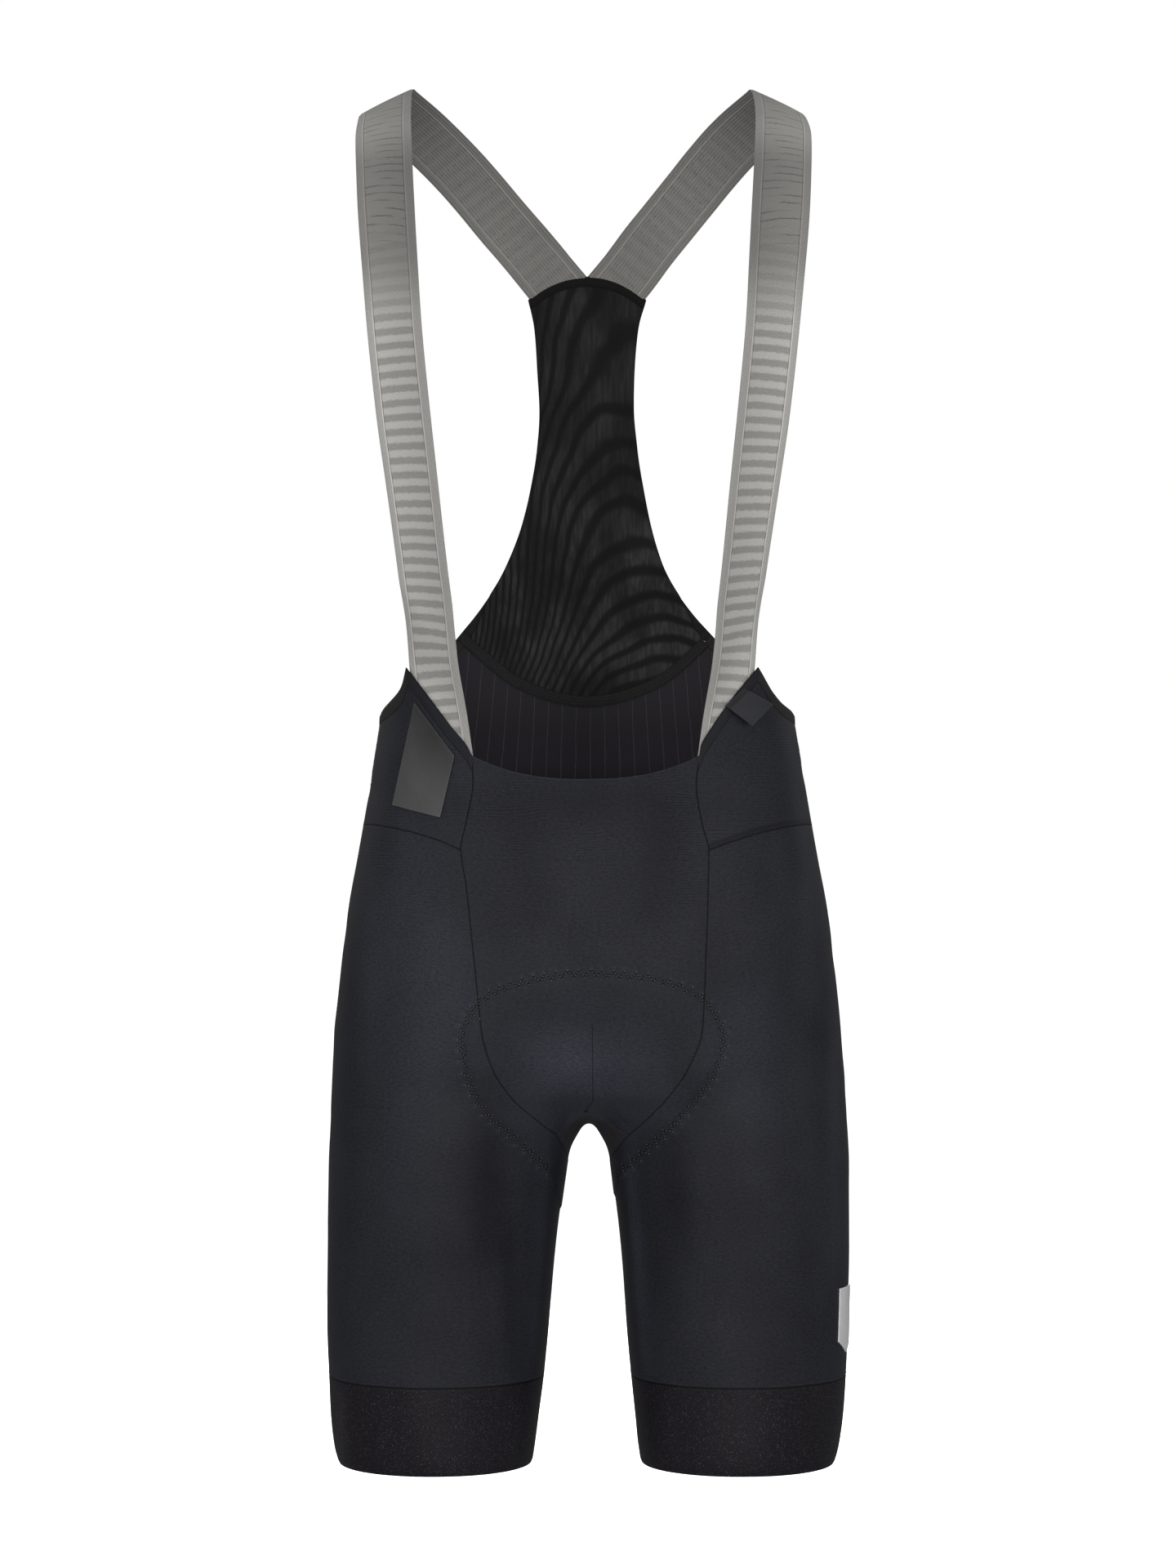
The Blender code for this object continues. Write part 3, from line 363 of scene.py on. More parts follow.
def meshCrown(x, halfWidth, endHeight):
    rise = seams["crown"] - endHeight
    radius = (halfWidth**2 + rise**2) / (2 * rise)
    return seams["crown"] - radius + np.sqrt(radius**2 - x**2)


def gussetSide(side, corner):
    start = legTurn(side, corner)
    end = 180.0 if start > 0 else -180.0
    turn = np.linspace(start, end, divisions["curve"])
    rest = (end - turn) / (end - start)
    z = seams["inseamTop"] + (corner[2] - seams["inseamTop"]) * rest ** seams["gussetSidePower"]
    return evenly(legPoint(side, turn, z), divisions["gusset"])


def sideLines(side):  # the edges and seams of one side, which neighbours share
    halfWidth, height, drift = dense(seams["meshSide"]).T
    meshSide = evenly(backPoint(side * halfWidth + drift, height), divisions["curve"])
    low = meshSide[-1]
    height, halfWidth, drift = dense(seams["binding"]).T
    binding = evenly(frontPoint(side * halfWidth + drift, height), divisions["binding"])
    apex = binding[0]
    ends = [[[bodyTurn(side, end), end[2], 0]] for end in (low, apex)]
    turn, height, slant = dense(np.vstack([ends[0], seams["armhole"], ends[1]])).T
    armhole = evenly(bodyPoint(side, turn, height + side * slant), divisions["curve"])[::-1]
    split = int(np.argmin(np.abs(bodyTurn(side, armhole) - seams["armholeBackTurn"])))
    roundSide = evenly(armhole[: split + 1], divisions["leg"])
    edge = join(roundSide, evenly(armhole[split:], divisions["wing"]))
    coarse = evenly(binding, divisions["coarse"]), evenly(roundSide, divisions["binding"])  # for the mitre
    innerApex = mitre(apex, *coarse, trims["binding"], trims["armhole"])
    corner = seams["waist"] - seams["bindingDrop"]
    frontWaist = frontSeam(side, seams["waist"], corner, divisions["waist"])
    frontUpper = frontSeam(side, corner, seams["hipFront"], divisions["side"])
    frontLower = frontSeam(side, seams["hipFront"], seams["front"][-1][0], divisions["seat"])
    widths = np.linspace(trims["armhole"], trims["meshEdge"], len(edge))
    bandInner = offsetEdge(edge, widths, bodyPoint(side, 0.0, seams["hipFront"]), start=innerApex)
    backTop = bandInner[divisions["leg"]]
    count = divisions["binding"] + divisions["side"]
    backUpper = backSeam(side, backTop[2], seams["hipBack"], count, backTop)
    backLower = backSeam(side, seams["hipBack"], seams["back"][-1][0], divisions["seat"], backTop)
    hipStart = [bodyTurn(side, frontUpper[-1]), seams["hipFront"]]
    hipEnd = [bodyTurn(side, backUpper[-1]), seams["hipBack"]]
    hip = evenly(bodyPoint(side, *dense(np.vstack([[hipStart], seams["hip"], [hipEnd]])).T), divisions["leg"])
    hip[0], hip[-1] = frontUpper[-1], backUpper[-1]
    inseamZ = np.linspace(seams["inseamTop"], seams["band"], divisions["curve"])
    return dict(
        meshSide=meshSide, bindingEdge=binding,
        bindingInner=offsetEdge(binding, trims["binding"], innerApex, start=innerApex, end=frontWaist[-1]),
        bandEdge=edge, bandInner=bandInner, frontWaist=frontWaist, frontUpper=frontUpper,
        frontLower=frontLower, backUpper=backUpper, backLower=backLower, hip=hip,
        gussetFront=gussetSide(side, frontLower[-1]), gussetBack=gussetSide(side, backLower[-1]),
        inseam=evenly(legPoint(side, 180.0, inseamZ), divisions["inseam"]),
    )


def gussetEdge(left, right, seam):
    front = seam == "frontLower"
    rise, facing = seams["gussetFrontRise" if front else "gussetBackRise"], -1.0 if front else 1.0
    start, end = left[seam][-1], right[seam][-1]
    x, _, level = np.linspace(start, end, divisions["curve"] + 1).T
    side = np.where(x < 0, abs(start[0]), abs(end[0]))
    z = level + rise * (1 - (np.abs(x) / side) ** seams["gussetRisePower"])
    line = evenly(frontPoint(x, z, facing), divisions["front"])
    line[0], line[-1] = start, end
    return line


def fillEdges(edges, flatten, place, *sides, **how):  # a grid between edges, worked out where they lie flat
    return inset(place(*apart(coons(*[flatten(edge) for edge in edges]))), *sides, **how)


def seenFlat(points):
    return points[..., [0, 2]]


def frontPanel(left, right):
    x = np.linspace(left["frontWaist"][0][0], right["frontWaist"][0][0], divisions["curve"])
    middle = (x[0] + x[-1]) / 2
    dip = 1 - np.abs((x - middle) / (x[-1] - middle)) ** seams["waistDipPower"]
    waist = evenly(frontPoint(x, seams["waist"] - seams["waistDip"] * dip), divisions["front"])
    sides = [join(lines["frontWaist"], lines["frontUpper"], lines["frontLower"]) for lines in (left, right)]
    edges = (waist, gussetEdge(left, right, "frontLower"), *sides)
    return fillEdges(edges, seenFlat, frontPoint, ("bottom", "left", "right"))


def crotchGusset(left, right):  # all its edges lie a little under its neighbours
    ends = [gussetEdge(left, right, seam) for seam in ("frontLower", "backLower")]
    sides = [join(lines["gussetFront"], lines["gussetBack"][::-1]) for lines in (left, right)]
    return fillEdges(
        (*ends, *sides), lambda edge: stack(edge[..., 1], gussetLean(edge)), gussetPoint, by=-trims["overlap"]
    )


def sidePanel(side, lines):
    front = join(lines["bindingInner"], lines["frontUpper"])
    edges = (lines["bandInner"][: divisions["leg"] + 1], lines["hip"], front, lines["backUpper"])
    flatten = lambda edge: stack(bodyTurn(side, edge), edge[..., 2])
    return fillEdges(edges, flatten, lambda turn, z: bodyPoint(side, turn, z))


def bandLoop(side):
    turn = np.linspace(180, -180, divisions["curve"])
    lengths = running(legPoint(side, turn, seams["band"]))
    return np.interp(np.linspace(0, lengths[-1], divisions["leg"] + 1), lengths, turn)


def legPanel(side, lines):
    front = join(lines["frontLower"], lines["gussetFront"], lines["inseam"])
    back = join(lines["backLower"], lines["gussetBack"], lines["inseam"])
    hip = lines["hip"]
    flat = coons(
        stack(legTurn(side, hip), hip[:, 2]), stack(bandLoop(side), float(seams["band"])),
        stack(legTurn(side, front) % 360, front[:, 2]), stack(legTurn(side, back) % 360 - 360, back[:, 2]),
    )
    return inset(legPoint(side, *apart(flat)))


def legBand(side):
    z = np.linspace(seams["band"] - seams["gap"] / 2, seams["hem"], divisions["band"] + 1)
    return legPoint(side, bandLoop(side)[None, :-1], z[:, None])


def meshSeam(left, right):
    ends = left["bandInner"][-1], right["bandInner"][-1]
    places = np.vstack([seenFlat(ends[0]), seams["mesh"], seenFlat(ends[1])])
    line = evenly(backPoint(*dense(places).T), divisions["mesh"])
    line[0], line[-1] = ends
    return line


def backPanel(left, right, seam):
    wing = slice(divisions["leg"], None)
    top = join(left["bandInner"][wing], seam, right["bandInner"][wing][::-1])
    bottom = evenly(gussetEdge(left, right, "backLower"), len(top) - 1)
    sides = [join(lines["backUpper"], lines["backLower"]) for lines in (left, right)]
    return fillEdges((top, bottom, *sides), seenFlat, backPoint)


def upperBack(left, right, seam):  # the mesh, its top band and its two side borders
    halfWidth, _, endHeight = right["meshSide"][0]
    cut = int(np.searchsorted(running(right["meshSide"]), trims["meshTop"]))
    lowLeft, lowRight = left["meshSide"][cut], right["meshSide"][cut]
    inner = 1 - trims["meshEdge"] / halfWidth
    wing = np.linspace(inner, 1, 4)
    across = np.r_[-wing[::-1], np.linspace(-inner, inner, divisions["mesh"] + 1)[1:-1], wing]
    crown = meshCrown(across * halfWidth, halfWidth, endHeight)
    top = backPoint(across * halfWidth, crown)
    lowX = (lowLeft[0] + lowRight[0] + across * (lowRight[0] - lowLeft[0])) / 2
    bottom = backPoint(lowX, crown + lowRight[2] - endHeight)
    grids = {"mesh_top_band": inset(strip(top, bottom), ("bottom",))}
    middle = backPoint(0.0, lowRight[2])
    sides = []
    for name, lines, at, end in (
        ("mesh_edge_left", left, 3, seam[0]), ("mesh_edge_right", right, -4, seam[-1]),
    ):
        edge = evenly(lines["meshSide"][cut:], divisions["meshSide"])
        line = offsetEdge(edge, trims["meshEdge"], middle, start=bottom[at], end=end)
        grids[name] = inset(inset(strip(edge, line), ("bottom",)), ("right",), by=-trims["borderLap"])
        full = evenly(lines["meshSide"][cut - trims["meshUnder"] :], divisions["meshSide"])
        t = smooth(np.linspace(0, 1, len(full)), trims["meshInEnds"], 1.0)[:, None]
        sides.append(ontoFigure(mix(full, line, t) + (middle - full) * trims["meshIn"] * (1 - t)))
    across = np.linspace(-1, 1, divisions["mesh"] + 1)
    ends = sides[0][0], sides[1][0]
    x = (ends[0][0] + ends[1][0] + across * (ends[1][0] - ends[0][0])) / 2
    top = backPoint(x, meshCrown(across * halfWidth, halfWidth, endHeight) + ends[1][2] - endHeight)
    grids["back_mesh"] = fillEdges((top, seam, *sides), seenFlat, backPoint, ("bottom",))
    return grids


def seamTape(left, right, seam):
    line = join(left["bandEdge"][[-1]], seam, right["bandEdge"][[-1]])
    line = evenly(line, divisions["mesh"] + 2 * divisions["wing"])
    towards = (backPoint(0.0, seams[height]) for height in ("crown", "hipBack"))
    return strip(*(offsetEdge(line, trims["tape"] / 2, toward) for toward in towards))


# soft creases, tension lines and the rise of the seat pad, as heights on the figure

creases = {  # x and height of both ends, width, height; at the sides a turn instead of x
    "front": (
        (3.4, -625, -1.1, -684, 3.2, -0.55),  # the dart
        (-7, -667, -2, -686, 3.2, -0.7), (16, -684, 31, -697, 3.4, -0.6), (-16, -686, -27, -700, 3.6, 0.35),
        (9, -668, 6, -686, 3.6, 0.4), (-31, -528, -24, -604, 15, -0.9), (38, -523, 50, -590, 15, -0.85),
        (4, -520, 2, -600, 17, 0.7), (-62, -470, -52, -505, 10, 0.35), (80, -446, 124, -438, 4.5, 0.3),
        (76, -462, 126, -452, 5, -0.35), (78, -474, 122, -468, 4, 0.3), (84, -488, 128, -479, 5, -0.3),
        (82, -428, 112, -424, 4, -0.3), (-122, -470, -84, -500, 7, 0.35), (-118, -428, -96, -440, 6, -0.35),
        (-86, -530, -126, -522, 7, 0.35), (-80, -548, -134, -556, 8, -0.35), (82, -538, 134, -530, 7, -0.35),
        (88, -562, 128, -570, 9, 0.3), (-56, -690, -24, -722, 8, -0.6), (58, -688, 26, -722, 8, -0.55),
        (-70, -716, -30, -738, 7, 0.45), (74, -720, 32, -742, 7, 0.4), (-52, -760, -46, -852, 11, -0.75),
        (57, -756, 52, -850, 11, -0.7), (-131, -770, -132, -905, 10, -0.85), (143, -764, 141, -900, 10, -0.9),
        (-110, -745, -96, -858, 13, 0.6), (97, -735, 90, -855, 13, 0.6), (-90, -862, -89, -922, 8, -0.6),
        (-49, -866, -48, -924, 8, -0.55), (-113, -868, -112, -924, 9, 0.45), (103, -866, 102, -924, 8, -0.6),
        (60, -868, 61, -924, 8, -0.5), (84, -870, 82, -924, 9, 0.45), (126, -868, 124, -924, 8, 0.4),
    ),
    "back": (
        (-70, -462, 44, -470, 9, -0.6), (-24, -506, 78, -498, 9, -0.55), (-88, -488, -30, -480, 8, 0.45),
        (0, -560, 1, -668, 9, -1.3), (-104, -676, -42, -703, 8, -1.1), (112, -684, 40, -701, 8, -1.0),
        (-88, -716, -34, -726, 7, 0.6), (70, -712, 28, -724, 7, 0.5), (-128, -796, -66, -806, 8, -0.7),
        (62, -834, 132, -826, 8, -0.65), (80, -778, 128, -772, 9, 0.5), (-122, -842, -84, -838, 7, 0.45),
        (-118, -868, -117, -922, 8, -0.5), (-78, -866, -79, -922, 8, 0.45), (86, -868, 86, -922, 8, -0.5),
        (124, -866, 122, -922, 8, 0.4), (-30, -330, -52, -380, 6, -0.5), (28, -336, 50, -378, 6, -0.45),
        (-8, -150, -6, -230, 7, -0.4), (14, -180, 12, -300, 8, 0.35),
    ),
    "left": (
        (-8, -470, 22, -474, 7, -0.5), (-30, -560, 14, -570, 10, -0.55), (-24, -640, 20, -628, 11, 0.5),
        (6, -760, -4, -850, 11, -0.6),
    ),
    "right": (
        (-12, -462, 20, -458, 7, -0.45), (-26, -590, 18, -580, 10, -0.6), (-18, -660, 24, -668, 11, 0.45),
        (10, -780, -2, -856, 11, -0.55),
    ),
}
seatPad = {  # the line that the pad under the cloth is sewn along, x and height
    "front": (
        (-24.9, -725.4), (-51.4, -697.7), (-67.2, -682.6), (-79.3, -655.4), (-81.8, -634.3),
        (-70.5, -610.7), (-36.5, -595.7), (0, -591.5), (38, -594), (76.4, -609.1), (89.3, -634.4),
        (84.6, -653.7), (63.5, -684.3), (37.7, -711.2), (22.8, -725.8),
    ),
    "back": (
        (-24.5, -725.4), (-46, -706), (-64, -684), (-77, -652), (-79, -620), (-66, -586), (-36, -566),
        (0, -560), (36, -566), (66, -586), (79, -620), (77, -652), (64, -684), (46, -706), (23.5, -725.4),
    ),
    "foot": ((10, -785), (-10, -785)),  # closes both lines below the crotch
    "lowest": -760, "widest": 100, "nowhere": -99.0, "skip": 3,
    "holes": 6,  # needle holes in a period
    "rise": 0.8, "start": -1, "edge": 6, "period": 7.4, "amplitude": 2.5, "pucker": 0.22, "puckerReach": 4.5,
}

def padLine(face):
    return along(dense(seatPad[face]), divisions["sewnLine"])


padLines = {face: padLine(face) for face in ("front", "back")}


def padSteps(face):  # how many needle holes go round the pad
    return int(round(running(padLines[face])[-1] / (seatPad["period"] / seatPad["holes"])))


def padPlace(points):  # how far inside the sewn line, in millimetres, and how far along it, in slants
    far, place = np.full(points.shape[:-1], seatPad["nowhere"]), np.zeros(points.shape[:-1])
    for face, facing in (("front", -1), ("back", 1)):
        line = padLines[face]
        sewn = line[:: seatPad["skip"]]
        within = (points[..., 2] > seatPad["lowest"]) & (np.abs(points[..., 0]) < seatPad["widest"])
        here = (points[..., 1] * facing >= 0) & within
        if not here.any():
            continue
        at = points[here][:, [0, 2]]
        gaps = at[:, None] - sewn[None]
        gaps = np.hypot(gaps[..., 0], gaps[..., 1])
        nearest, distance = gaps.argmin(1), gaps.min(1)
        closed = np.vstack([line, seatPad["foot"]])
        x, z = at[:, :1], at[:, 1:]
        x1, z1 = closed[None, :, 0], closed[None, :, 1]
        x2, z2 = np.roll(closed[:, 0], -1)[None], np.roll(closed[:, 1], -1)[None]
        crossing = ((z1 > z) != (z2 > z)) & (x < (x2 - x1) * (z - z1) / (z2 - z1 + 1e-12) + x1)
        inside = crossing.sum(1) % 2 == 1
        far[here] = np.where(inside, distance, -distance)
        place[here] = nearest / (len(sewn) - 1) * padSteps(face) / seatPad["holes"]
    return far, place


def padRise(points):
    far, place = padPlace(points)
    pucker = np.cos(2 * np.pi * place) * np.exp(-((far / seatPad["puckerReach"]) ** 2))
    return seatPad["rise"] * smooth(far, seatPad["start"], seatPad["edge"]) - seatPad["pucker"] * pucker


paintedShadingStrokes = {  # painted light and shade: soft bands that lighten or darken the cloth as light and shade fall on it; in places they also stand for cloth stretched thin and pale
    "front": (
        (-118, -450, -114, -740, 26, 0.46), (-138, -500, -146, -660, 14, 0.40),
        (-88, -540, -90, -670, 22, 0.44), (-28, -615, -26, -712, 22, 0.96), (28, -615, 26, -712, 22, 0.68),
        (0, -620, 0, -706, 18, 1.03), (-64, -478, 64, -478, 18, -0.32), (-42, -470, -34, -570, 17, -0.19),
        (50, -470, 40, -570, 17, -0.27), (-10, -500, -4, -560, 16, 0.07), (-66, -676, -66, -790, 16, -0.50),
        (-92, -690, -98, -876, 18, -0.24), (-69, -760, -66, -880, 9, -0.10), (-52, -740, -50, -860, 8, -0.32),
        (-26, -690, -38, -872, 9, 0.63), (26, -690, 40, -872, 9, 1.00), (44, -740, 56, -850, 9, -0.14),
        (54, -680, 62, -790, 15, -0.38), (90, -680, 92, -790, 14, -0.22), (108, -720, 116, -880, 20, -0.15),
        (144, -720, 146, -880, 13, -0.18), (163, -590, 165, -810, 11, 0.44), (142, -490, 146, -620, 12, 0.38),
        (104, -590, 106, -710, 20, 0.40), (82, -610, 78, -660, 14, 0.20), (88, -450, 95, -580, 20, 0.06),
        (-42, -650, -54, -704, 13, 0.08), (46, -650, 58, -704, 13, 0.37), (-10, -686, -14, -712, 8, 0.89),
        (10, -686, 14, -712, 8, 0.53), (-164, -868, -164, -926, 8, 0.81), (-50, -868, -50, -926, 10, 0.28),
        (50, -868, 50, -926, 10, 0.20), (164, -868, 164, -926, 10, 0.14),
    ),
}

strokes = {"legs": -700, "reach": 3, "ends": (0.02, 0.98), "taper": 0.7}
ripples = {"side": (0.12, 17, 1.3, 41), "depth": (0.1, 15, 29)}  # height, then how long the waves are


def strokeLine(face, x, z, endX, endZ):
    across, height = np.linspace(x, endX, divisions["stroke"]), np.linspace(z, endZ, divisions["stroke"])
    if face in facePoint:
        return facePoint[face](across, height)
    return (legPoint if z < strokes["legs"] else bodyPoint)(-1 if face == "left" else 1, across, height)


def strokesOf(table):
    return [(strokeLine(face, *row[:4]), *row[4:]) for face, rows in table.items() for row in rows]


creaseLines, paintedShadingLines = strokesOf(creases), strokesOf(paintedShadingStrokes)


def strokeSum(points, drawn):  # the heights, or painted light and shade, of soft strokes along lines on the figure
    flat = points.reshape(-1, 3)
    total = np.zeros(len(flat))
    for line, width, height in drawn:
        reach = strokes["reach"] * width
        low, high = line.min(0) - reach, line.max(0) + reach
        here = np.all((flat > low) & (flat < high), axis=1)
        if not here.any():
            continue
        at = flat[here][:, None]
        start, step = line[None, :-1], np.diff(line, axis=0)[None]
        t = np.clip(((at - start) * step).sum(-1) / (step**2).sum(-1), 0, 1)
        distance = np.linalg.norm(at - start - t[..., None] * step, axis=-1)
        nearest = distance.argmin(1)
        place = (nearest + t[np.arange(len(t)), nearest]) / step.shape[1]
        taper = np.sin(np.pi * np.clip(place, *strokes["ends"])) ** strokes["taper"]
        total[here] += height * taper * np.exp(-((distance.min(1) / width) ** 2))
    return total.reshape(points.shape[:-1])


def creaseHeight(points):
    x, y, z = apart(points)
    height, wide, shift, tall = ripples["side"]
    broad = height * np.sin(x / wide + shift) * np.sin(z / tall)
    height, deep, tall = ripples["depth"]
    broad = broad + height * np.sin(y / deep + z / tall)
    return strokeSum(points, creaseLines) + broad + padRise(points)


def onCloth(points, lift=0.0):  # points on the creased cloth, lifted off it, with the ways that it faces
    normals = figureNormal(points)
    return points + normals * (creaseHeight(points) + lift)[..., None], normals


# shells

def lengthsOf(grid, axis):
    steps = np.linalg.norm(np.diff(grid, axis=axis), axis=-1)
    zero = np.zeros_like(np.take(steps, [0], axis))
    return np.cumsum(np.concatenate([zero, steps], axis), axis)


def stand(name, data):  # a new object in the scene
    made = bpy.data.objects.new(name, data)
    bpy.context.scene.collection.objects.link(made)
    return made


finishing = {"round": 2.4, "bend": 0.36, "sharp": 50, "far": 99.0}  # free edges are rounded over


def shell(
    name, points, normals, looks, proud=0.0, thickness=1.2, closed=False, seamSides=(), soft=(), uv=None
):
    rows, columns = points.shape[:2]
    wide = np.concatenate([points, points[:, :1]], 1) if closed else points
    across, down = lengthsOf(wide, 1), lengthsOf(points, 0)
    ways = {  # how far each point is from each side
        "top": down, "bottom": down[-1:] - down, "left": across[:, :columns],
        "right": across[:, -1:] - across[:, :columns],
    }
    proud = np.broadcast_to(proud, points.shape[:2]).astype(float)
    inner = proud - thickness
    for side in soft:
        bend = finishing["bend"] * thickness * (1 - np.clip(ways[side] / finishing["round"], 0, 1)) ** 2
        proud, inner = proud - bend, inner + bend
    faced = [(points + normals * height[..., None]).reshape(-1, 3) for height in (proud, inner)]
    vertices = np.concatenate(faced) * 0.001
    corners = np.arange(rows * columns).reshape(rows, columns)
    if closed:
        corners = np.concatenate([corners, corners[:, :1]], 1)
    if uv is None:
        uv = stack(across - across[:, -1:] / 2, lengthsOf(wide, 0))

    def quads(grid):
        quad = np.stack([grid[:-1, :-1], grid[:-1, 1:], grid[1:, 1:], grid[1:, :-1]], 2)
        return quad.reshape(-1, 4, *grid.shape[2:])

    if closed:
        rims = [((row, k), (row, k + 1)) for row in (0, rows - 1) for k in range(columns)]
    else:
        loop = [(0, k) for k in range(columns)]
        loop += [(k, columns - 1) for k in range(1, rows)]
        loop += [(rows - 1, k) for k in range(columns - 2, -1, -1)]
        loop += [(k, 0) for k in range(rows - 2, 0, -1)]
        rims = zip(loop, loop[1:] + loop[:1])
    p, q = (tuple(np.array(ends).T) for ends in zip(*rims))
    outer, outerUv, back = quads(corners), quads(uv), rows * columns
    rim = np.stack([corners[q], corners[p], back + corners[p], back + corners[q]], 1)
    rimUv = np.stack([uv[q], uv[p], uv[p], uv[q]], 1)
    faces = np.concatenate([outer, back + outer[:, ::-1], rim])
    faceUv = np.concatenate([outerUv, outerUv[:, ::-1], rimUv]).reshape(-1, 2) * 0.001
    mesh = bpy.data.meshes.new(name)
    mesh.from_pydata(vertices.tolist(), [], faces.tolist())
    mesh.uv_layers.new(name="cloth").uv.foreach_set("vector", faceUv.astype(np.float32).ravel())
    far, place = padPlace(points)
    seam = np.min([np.full(points.shape[:2], finishing["far"]), *(ways[side] for side in seamSides)], 0)
    for key, values in (
        # one attribute carries painted light and shade from the stroke bands
        ("seam", seam), ("paintedShading", 1 + strokeSum(points, paintedShadingLines)), ("fromBottom", ways["bottom"]),
        ("fromTop", ways["top"]), ("fromLeft", ways["left"]), ("padFar", far), ("padPlace", place),
    ):
        data = mesh.attributes.new(key, "FLOAT", "POINT").data
        data.foreach_set("value", np.tile(values.ravel(), 2).astype(np.float32))
    for look in looks:
        mesh.materials.append(look.material)
    slots = np.zeros(len(faces), np.int32)
    slots[len(outer) : 2 * len(outer)] = 1
    mesh.polygons.foreach_set("material_index", slots)
    made = bmesh.new()
    made.from_mesh(mesh)
    bmesh.ops.recalc_face_normals(made, faces=made.faces)
    made.to_mesh(mesh)
    made.free()
    mesh.shade_smooth()
    mesh.set_sharp_from_angle(angle=math.radians(finishing["sharp"]))
    return stand(name, mesh)


# shader arithmetic

def pairwise(operation, turned=False):
    return lambda self, other: self.sum(operation, *((other, self) if turned else (self, other)))


def alone(operation):
    return lambda self: self.sum(operation, self)


class Shade:  # wraps a socket, so that sums written on it become nodes
    def __init__(self, look, socket):
        self.look, self.socket = look, socket

    def sum(self, operation, *values):
        return self.look.node("ShaderNodeMath", {"operation": operation}, dict(enumerate(values)))

    __add__ = __radd__ = pairwise("ADD")
    __mul__ = __rmul__ = pairwise("MULTIPLY")
    __sub__, __rsub__ = pairwise("SUBTRACT"), pairwise("SUBTRACT", True)
    __truediv__, __rtruediv__ = pairwise("DIVIDE"), pairwise("DIVIDE", True)
    sine, size, part = alone("SINE"), alone("ABSOLUTE"), alone("FRACT")  # part: what whole numbers leave

    def rise(self, low, high):  # 0 below low, 1 above high, and smooth between
        settings = {"interpolation_type": "SMOOTHSTEP"}
        return self.look.node("ShaderNodeMapRange", settings, {0: self, 1: low, 2: high, 3: 0.0, 4: 1.0})


def addNode(tree, kind, settings=None, values=None):
    made = tree.nodes.new(kind)
    for key, value in (settings or {}).items():
        setattr(made, key, value)
    for key, value in (values or {}).items():
        if isinstance(value, bpy.types.NodeSocket):
            tree.links.new(value, made.inputs[key])
        else:
            made.inputs[key].default_value = value
    return made


finishSockets = ("Roughness", "Specular IOR Level", "Sheen Weight", "Sheen Roughness")


class Look:  # a material with its nodes; its settings become values of its own
    def __init__(self, name, settings):
        for key, value in settings.items():
            setattr(self, key, value)
        self.material = bpy.data.materials.new(name)
        self.material.use_nodes = True
        self.tree = self.material.node_tree
        self.shader = self.tree.nodes["Principled BSDF"]
        for socket, value in zip(finishSockets, self.finish):
            self.shader.inputs[socket].default_value = value

    def node(self, kind, settings=None, values=None, output=0):
        values = {key: getattr(value, "socket", value) for key, value in (values or {}).items()}
        return Shade(self, addNode(self.tree, kind, settings, values).outputs[output])

    def feed(self, socket, value):
        self.tree.links.new(value.socket, self.shader.inputs[socket])

    def ways(self, place):  # a place in millimetres, and its parts
        place = self.scale(place, 1000.0)
        x = self.node("ShaderNodeSeparateXYZ", None, {0: place})
        return place, x, *(Shade(self, x.socket.node.outputs[k]) for k in (1, 2))

    def across(self):  # along the cloth's own lengths
        return self.ways(self.node("ShaderNodeUVMap", {"uv_map": "cloth"}))[:3]

    def solid(self):  # where the piece stands
        return self.ways(self.node("ShaderNodeTexCoord", None, None, 3))

    def measure(self, name):
        return self.node("ShaderNodeAttribute", {"attribute_name": name}, None, 2)

    def noise(self, place, period, detail=2.0, roughness=0.5):
        values = {"Vector": place, "Scale": 1 / period, "Detail": detail, "Roughness": roughness}
        return self.node("ShaderNodeTexNoise", {"noise_dimensions": "3D"}, values)

    def stretch(self, place, x, y, z):
        return self.node("ShaderNodeVectorMath", {"operation": "MULTIPLY"}, {0: place, 1: (x, y, z)})

    def blend(self, factor, a, b):
        colours = [c if isinstance(c, Shade) else (*c, 1.0) for c in (a, b)]
        values = {0: factor, 6: colours[0], 7: colours[1]}
        return self.node("ShaderNodeMix", {"data_type": "RGBA", "clamp_factor": True}, values, 2)

    def padLine(self):  # the groove of the zigzag that holds the pad, and the puckers beside it: masks for their bumps, for a painted shadow in the groove, painted highlights on the puckers outside and painted shade just inside
        far, place = self.measure("padFar"), self.measure("padPlace")
        slant = ((place.part() - 0.5).size() * 4 - 1) * seatPad["amplitude"]
        grooveAndShadow = line(far + slant, 0.5, 0.7)
        # painted highlight: lighter spikes on the puckers outside the zigzag, also raised as bumps
        puckerAndHighlight = wave(place, 1.0).rise(0.5, 1.0)
        outside = far.rise(-6.5, -2.6) * (1 - far.rise(-2.6, -0.8))
        # painted shade in a narrow band just inside the zigzag
        inside = far.rise(-2.5, 0.5) * (1 - far.rise(1.5, 4.5))
        return grooveAndShadow, puckerAndHighlight * outside, inside

    def scale(self, colour, factor):
        return self.node("ShaderNodeVectorMath", {"operation": "SCALE"}, {0: colour, 3: factor})

    def weave(self, amount):  # the ground colour
        self.colour = self.blend(amount, self.dark, self.light)

    def tint(self, amount, colour):
        self.colour = self.blend(amount, self.colour, colour)

    def dim(self, factor):
        self.colour = self.scale(self.colour, factor)

    def done(self, height, strength):  # height in millimetres
        self.feed("Base Color", self.colour)
        values = {"Strength": strength, "Distance": 0.001, "Height": height}
        self.feed("Normal", self.node("ShaderNodeBump", None, values))
        return self


def wave(value, period, shift=math.pi / 2):  # between 0 and 1, and 1 at nought
    return (value * (2 * math.pi / period) + shift).sine() * 0.5 + 0.5


def line(value, width, soft=0.3):  # 1 where the value is within half a width of nought
    return 1 - value.size().rise(width / 2, width / 2 + soft)


